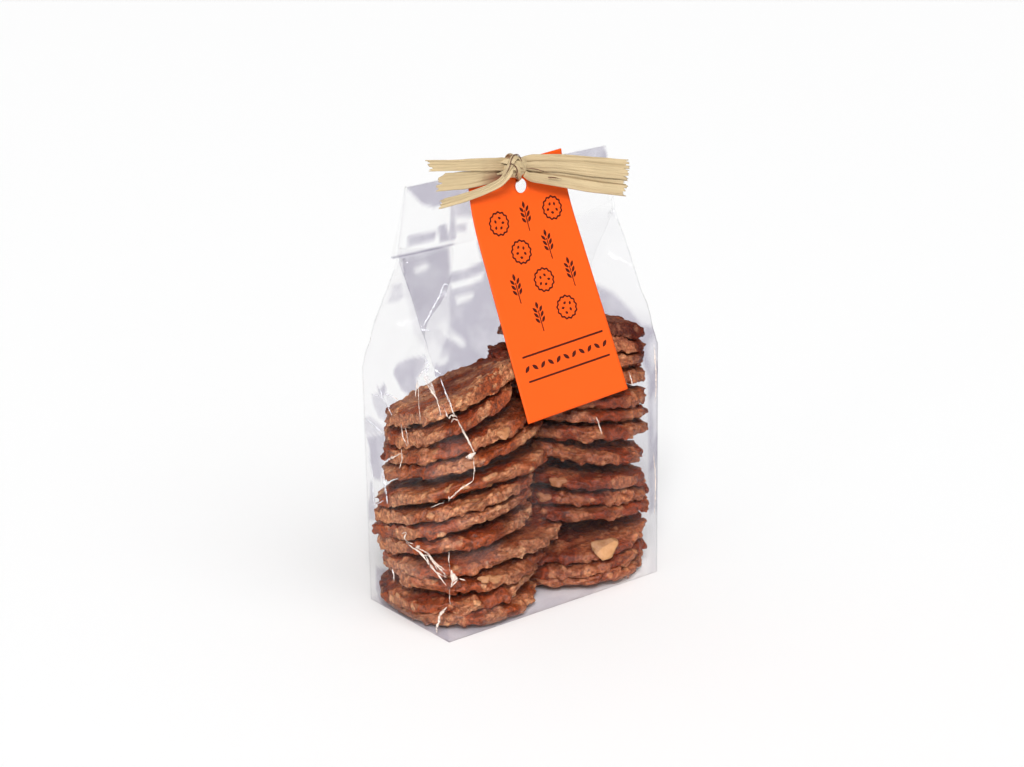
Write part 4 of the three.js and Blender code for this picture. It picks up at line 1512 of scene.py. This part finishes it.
# Dark lines along the edges of the strands: points in front of them, and three widths.
DARK_LINE_WIDTHS = (0.12, 0.36, 0.1)
KNOT_DARK_LINES = (
    ((-13.1, -14.2, 198.4), (-10.6, -14.6, 202.4), (-9.3, -14.2, 205.4), (-6.8, -13.2, 206.8),
     (-3.7, -12.2, 206.0), (-1.1, -11.4, 202.1)),
    ((-10.6, -14.8, 204.0), (-7.9, -14.2, 202.9), (-5.8, -13.8, 199.9), (-6.3, -13.2, 197.2),
     (-2.9, -10.6, 195.1)),
    ((0.6, -11.9, 199.5), (5.3, -12.3, 198.3), (9.6, -12.6, 196.7)),
    ((11.3, -13.4, 193.9), (14.7, -14.0, 193.2), (17.7, -14.6, 192.2)),
)
# The core under the strands: its middle and its half sizes.
KNOT_CORE = (-3.6, -9.6, 200.2)
KNOT_CORE_SIZE = (6.2, 2.2, 4.4)


def lay_wrap(bm, points, widths, cup, seed, dark=0.0, columns=10):
    """A strand or a dark line laid round the knot, its width square to the way out of it."""
    rows = 90 if cup else 40
    edge = bm.verts.layers.float["edge"]
    path = smooth_path(points, rows)
    grid = bmesh.ops.create_grid(bm, x_segments=rows, y_segments=columns, size=1.0, calc_uvs=True)
    for vert in grid["verts"]:
        along = (vert.co.x + 1) / 2
        share = vert.co.y / 2
        centre, tangent = path[min(round(along * rows), rows)]
        normal = centre - KNOT_MIDDLE
        normal = (normal - tangent * normal.dot(tangent)).normalized()
        side = tangent.cross(normal).normalized()
        width = lerp(widths[0], widths[1], smoothstep(0, 0.3, along))
        width = lerp(width, widths[2], smoothstep(0.35, 0.9, along))
        pleat = noise.noise(Vector((share * 8, along * 3, seed * 4.4)))
        out = cup * (1 - 4 * share * share + 1.6 * pleat)
        vert.co = centre + side * share * width + normal * out
        vert[edge] = dark


def make_knot():
    """The strands through the tag and the header, wrapped round the bundle, on its core."""
    bm = new_bmesh("edge", "painted_knot_shadow")
    for seed, (points, widths, cup) in enumerate(KNOT_STRANDS):
        lay_wrap(bm, points, widths, cup, seed)
    for seed, points in enumerate(KNOT_DARK_LINES):
        lay_wrap(bm, points, DARK_LINE_WIDTHS, 0.0, seed, 1.0, 2)
    form = Matrix.Translation(KNOT_CORE) @ Matrix.Diagonal((*KNOT_CORE_SIZE, 1))
    core = bmesh.ops.create_uvsphere(bm, u_segments=40, v_segments=24, radius=1.0, matrix=form)
    for vert in core["verts"]:
        ridge = noise.noise(Vector((vert.co.x * 0.15, vert.co.y * 0.4, vert.co.z * 1.1)))
        vert.co.y += 0.7 * ridge
        vert.co.z += 0.5 * ridge
    return bm


class COOKIEBAG_OT_raffia(bpy.types.Operator):
    """Make the raffia knot, its tails and its ribbons"""

    bl_idname = "cookiebag.raffia"
    bl_label = "Raffia"

    def execute(self, context):
        settings = context.scene.cookie_bag_raffia
        material = raffia_material(settings)
        forms = []
        for seed, (node, spec) in enumerate(STRANDS.items(), 1):
            bm = new_bmesh("edge", "painted_knot_shadow")
            lay_strand(bm, spec, seed)
            forms.append((f"{node}_strand", bm, node))
        forms.append(("raffia_knot_wrap", make_knot(), "raffia_knot"))
        for name, bm, node in forms:
            bmesh.ops.recalc_face_normals(bm, faces=bm.faces)
            thicken(add_object(name, mesh_from(bm, name), material, node), settings.thickness)
        return {"FINISHED"}


# --- Stage -------------------------------------------------------------------------

PICTURE_WIDTH = 1024
SENSOR_WIDTH = 36
CAMERA_FOCAL = 2529.6       # in the units of the picture's width
CAMERA_YAW = -37.48
CAMERA_PITCH = 19.44
CAMERA_ROLL = -0.96
CAMERA_TARGET = Vector((-2.99, -3.87, 100.0))
CAMERA_DISTANCE = 1124.05
FLOOR_REACH = 6000
LAYERS_OF_FILM = 40         # layers of clear film that a ray may pass
KEY_LIGHT = ((0.80, 1.0, -0.98), 18)        # the way it shines, and how many degrees wide
RIGHT_LIGHT = ((-0.15, 1.0, -1.25), 40)
# Strips of light that shine in the film: place and size in metres. Both face the bag.
STRIPS = {
    "left_strip": ((-1.2, -0.35, 0.5), (0.12, 1.0)),
    "front_strip": ((-0.2, -1.5, 0.8), (0.5, 0.12)),
}
STRIP_AIM = (0, 0, 0.12)


def camera_matrix():
    """The camera's place, looking at its target with a small roll."""
    yaw, pitch, roll = (math.radians(a) for a in (CAMERA_YAW, CAMERA_PITCH, CAMERA_ROLL))
    level = math.cos(pitch)
    ahead = Vector((-math.sin(yaw) * level, math.cos(yaw) * level, -math.sin(pitch)))
    right = Vector((math.cos(yaw), math.sin(yaw), 0))
    up = right.cross(ahead)
    side = right * math.cos(roll) + up * math.sin(roll)
    top = -right * math.sin(roll) + up * math.cos(roll)
    place = (CAMERA_TARGET - ahead * CAMERA_DISTANCE) * MM
    matrix = Matrix((side, top, -ahead)).transposed().to_4x4()
    matrix.translation = place
    return matrix


def add_strip(name, place, size, power):
    """A strip of soft light that faces the bag and shines only in gloss."""
    lamp = bpy.data.lights.new(name, "AREA")
    lamp.shape = "RECTANGLE"
    lamp.size, lamp.size_y = size
    lamp.energy = power
    holder = bpy.data.objects.new(name, lamp)
    holder.location = place
    aim = Vector(STRIP_AIM) - Vector(place)
    holder.rotation_euler = aim.to_track_quat("-Z", "Y").to_euler()
    holder.visible_diffuse = False
    bpy.context.scene.collection.objects.link(holder)


def add_sun(name, travel, angle, power):
    """A far, soft light that shines along a direction."""
    lamp = bpy.data.lights.new(name, "SUN")
    lamp.energy = power
    lamp.angle = math.radians(angle)
    holder = bpy.data.objects.new(name, lamp)
    holder.rotation_euler = Vector(travel).to_track_quat("-Z", "Y").to_euler()
    bpy.context.scene.collection.objects.link(holder)


def add_floor(settings):
    """A wide pale floor with a faint mottle."""
    bm = bmesh.new()
    bmesh.ops.create_grid(bm, x_segments=8, y_segments=8, size=FLOOR_REACH)
    floor = bpy.data.objects.new("floor", mesh_from(bm, "floor"))
    bpy.context.scene.collection.objects.link(floor)
    material, tree, where = new_material("pale_floor")
    grain = grain_node(tree, where, 3.0, 800.0, 0.5)
    mottle = math_node(tree, "MULTIPLY", grain["Mask"], 0.04)
    tone = mix_colour(tree, mottle, settings.floor, settings.floor * 0.97)
    show(tree, add_node(tree, "ShaderNodeBsdfPrincipled", {"Base Color": tone}, Roughness=0.9))
    floor.data.materials.append(material)


def add_camera():
    """The camera, at its place and with its lens."""
    camera = bpy.data.cameras.new("camera")
    camera.lens = CAMERA_FOCAL * SENSOR_WIDTH / PICTURE_WIDTH
    camera.sensor_width = SENSOR_WIDTH
    camera.clip_end = 50
    holder = bpy.data.objects.new("camera", camera)
    holder.matrix_world = camera_matrix()
    bpy.context.scene.collection.objects.link(holder)
    bpy.context.scene.camera = holder


class COOKIEBAG_OT_stage(bpy.types.Operator):
    """Make the pale floor, the soft light and the camera"""

    bl_idname = "cookiebag.stage"
    bl_label = "Stage"

    def execute(self, context):
        settings = context.scene.cookie_bag_stage
        scene = context.scene
        add_floor(settings)
        world = bpy.data.worlds.new("soft_room")
        world.use_nodes = True
        world.node_tree.nodes["Background"].inputs["Color"].default_value = (1, 1, 1, 1)
        world.node_tree.nodes["Background"].inputs["Strength"].default_value = settings.light
        scene.world = world
        add_sun("key_light", *KEY_LIGHT, settings.key)
        add_sun("right_light", *RIGHT_LIGHT, settings.right)
        for name, (place, size) in STRIPS.items():
            add_strip(name, place, size, settings.strips)
        add_camera()
        scene.view_settings.view_transform = "Standard"
        scene.cycles.transparent_max_bounces = LAYERS_OF_FILM
        return {"FINISHED"}


class COOKIEBAG_PT_panel(bpy.types.Panel):
    """The pieces of the cookie bag"""

    bl_idname = "COOKIEBAG_PT_panel"
    bl_label = "Cookie Bag"
    bl_space_type = "VIEW_3D"
    bl_region_type = "UI"
    bl_category = "Cookie Bag"

    def draw(self, context):
        for operator in OPERATORS:
            self.layout.operator(operator.bl_idname)


SETTINGS = {
    "cookie_bag_film": FilmSettings,
    "cookie_bag_cookie": CookieSettings,
    "cookie_bag_tag": TagSettings,
    "cookie_bag_raffia": RaffiaSettings,
    "cookie_bag_stage": StageSettings,
}
OPERATORS = (
    COOKIEBAG_OT_stage,
    COOKIEBAG_OT_cookies,
    COOKIEBAG_OT_film,
    COOKIEBAG_OT_tag,
    COOKIEBAG_OT_raffia,
)


def register():
    """Registers the settings, the operators and the panel."""
    for name, group in SETTINGS.items():
        bpy.utils.register_class(group)
        setattr(bpy.types.Scene, name, PointerProperty(type=group))
    for operator in OPERATORS:
        bpy.utils.register_class(operator)
    bpy.utils.register_class(COOKIEBAG_PT_panel)


def unregister():
    """Takes the panel, the operators and the settings away again."""
    bpy.utils.unregister_class(COOKIEBAG_PT_panel)
    for operator in reversed(OPERATORS):
        bpy.utils.unregister_class(operator)
    for name, group in reversed(SETTINGS.items()):
        delattr(bpy.types.Scene, name)
        bpy.utils.unregister_class(group)


def main():
    """Makes every piece in order."""
    register()
    bpy.ops.cookiebag.stage()
    bpy.ops.cookiebag.cookies()
    bpy.ops.cookiebag.film()
    bpy.ops.cookiebag.tag()
    bpy.ops.cookiebag.raffia()


if __name__ == "__main__":
    main()
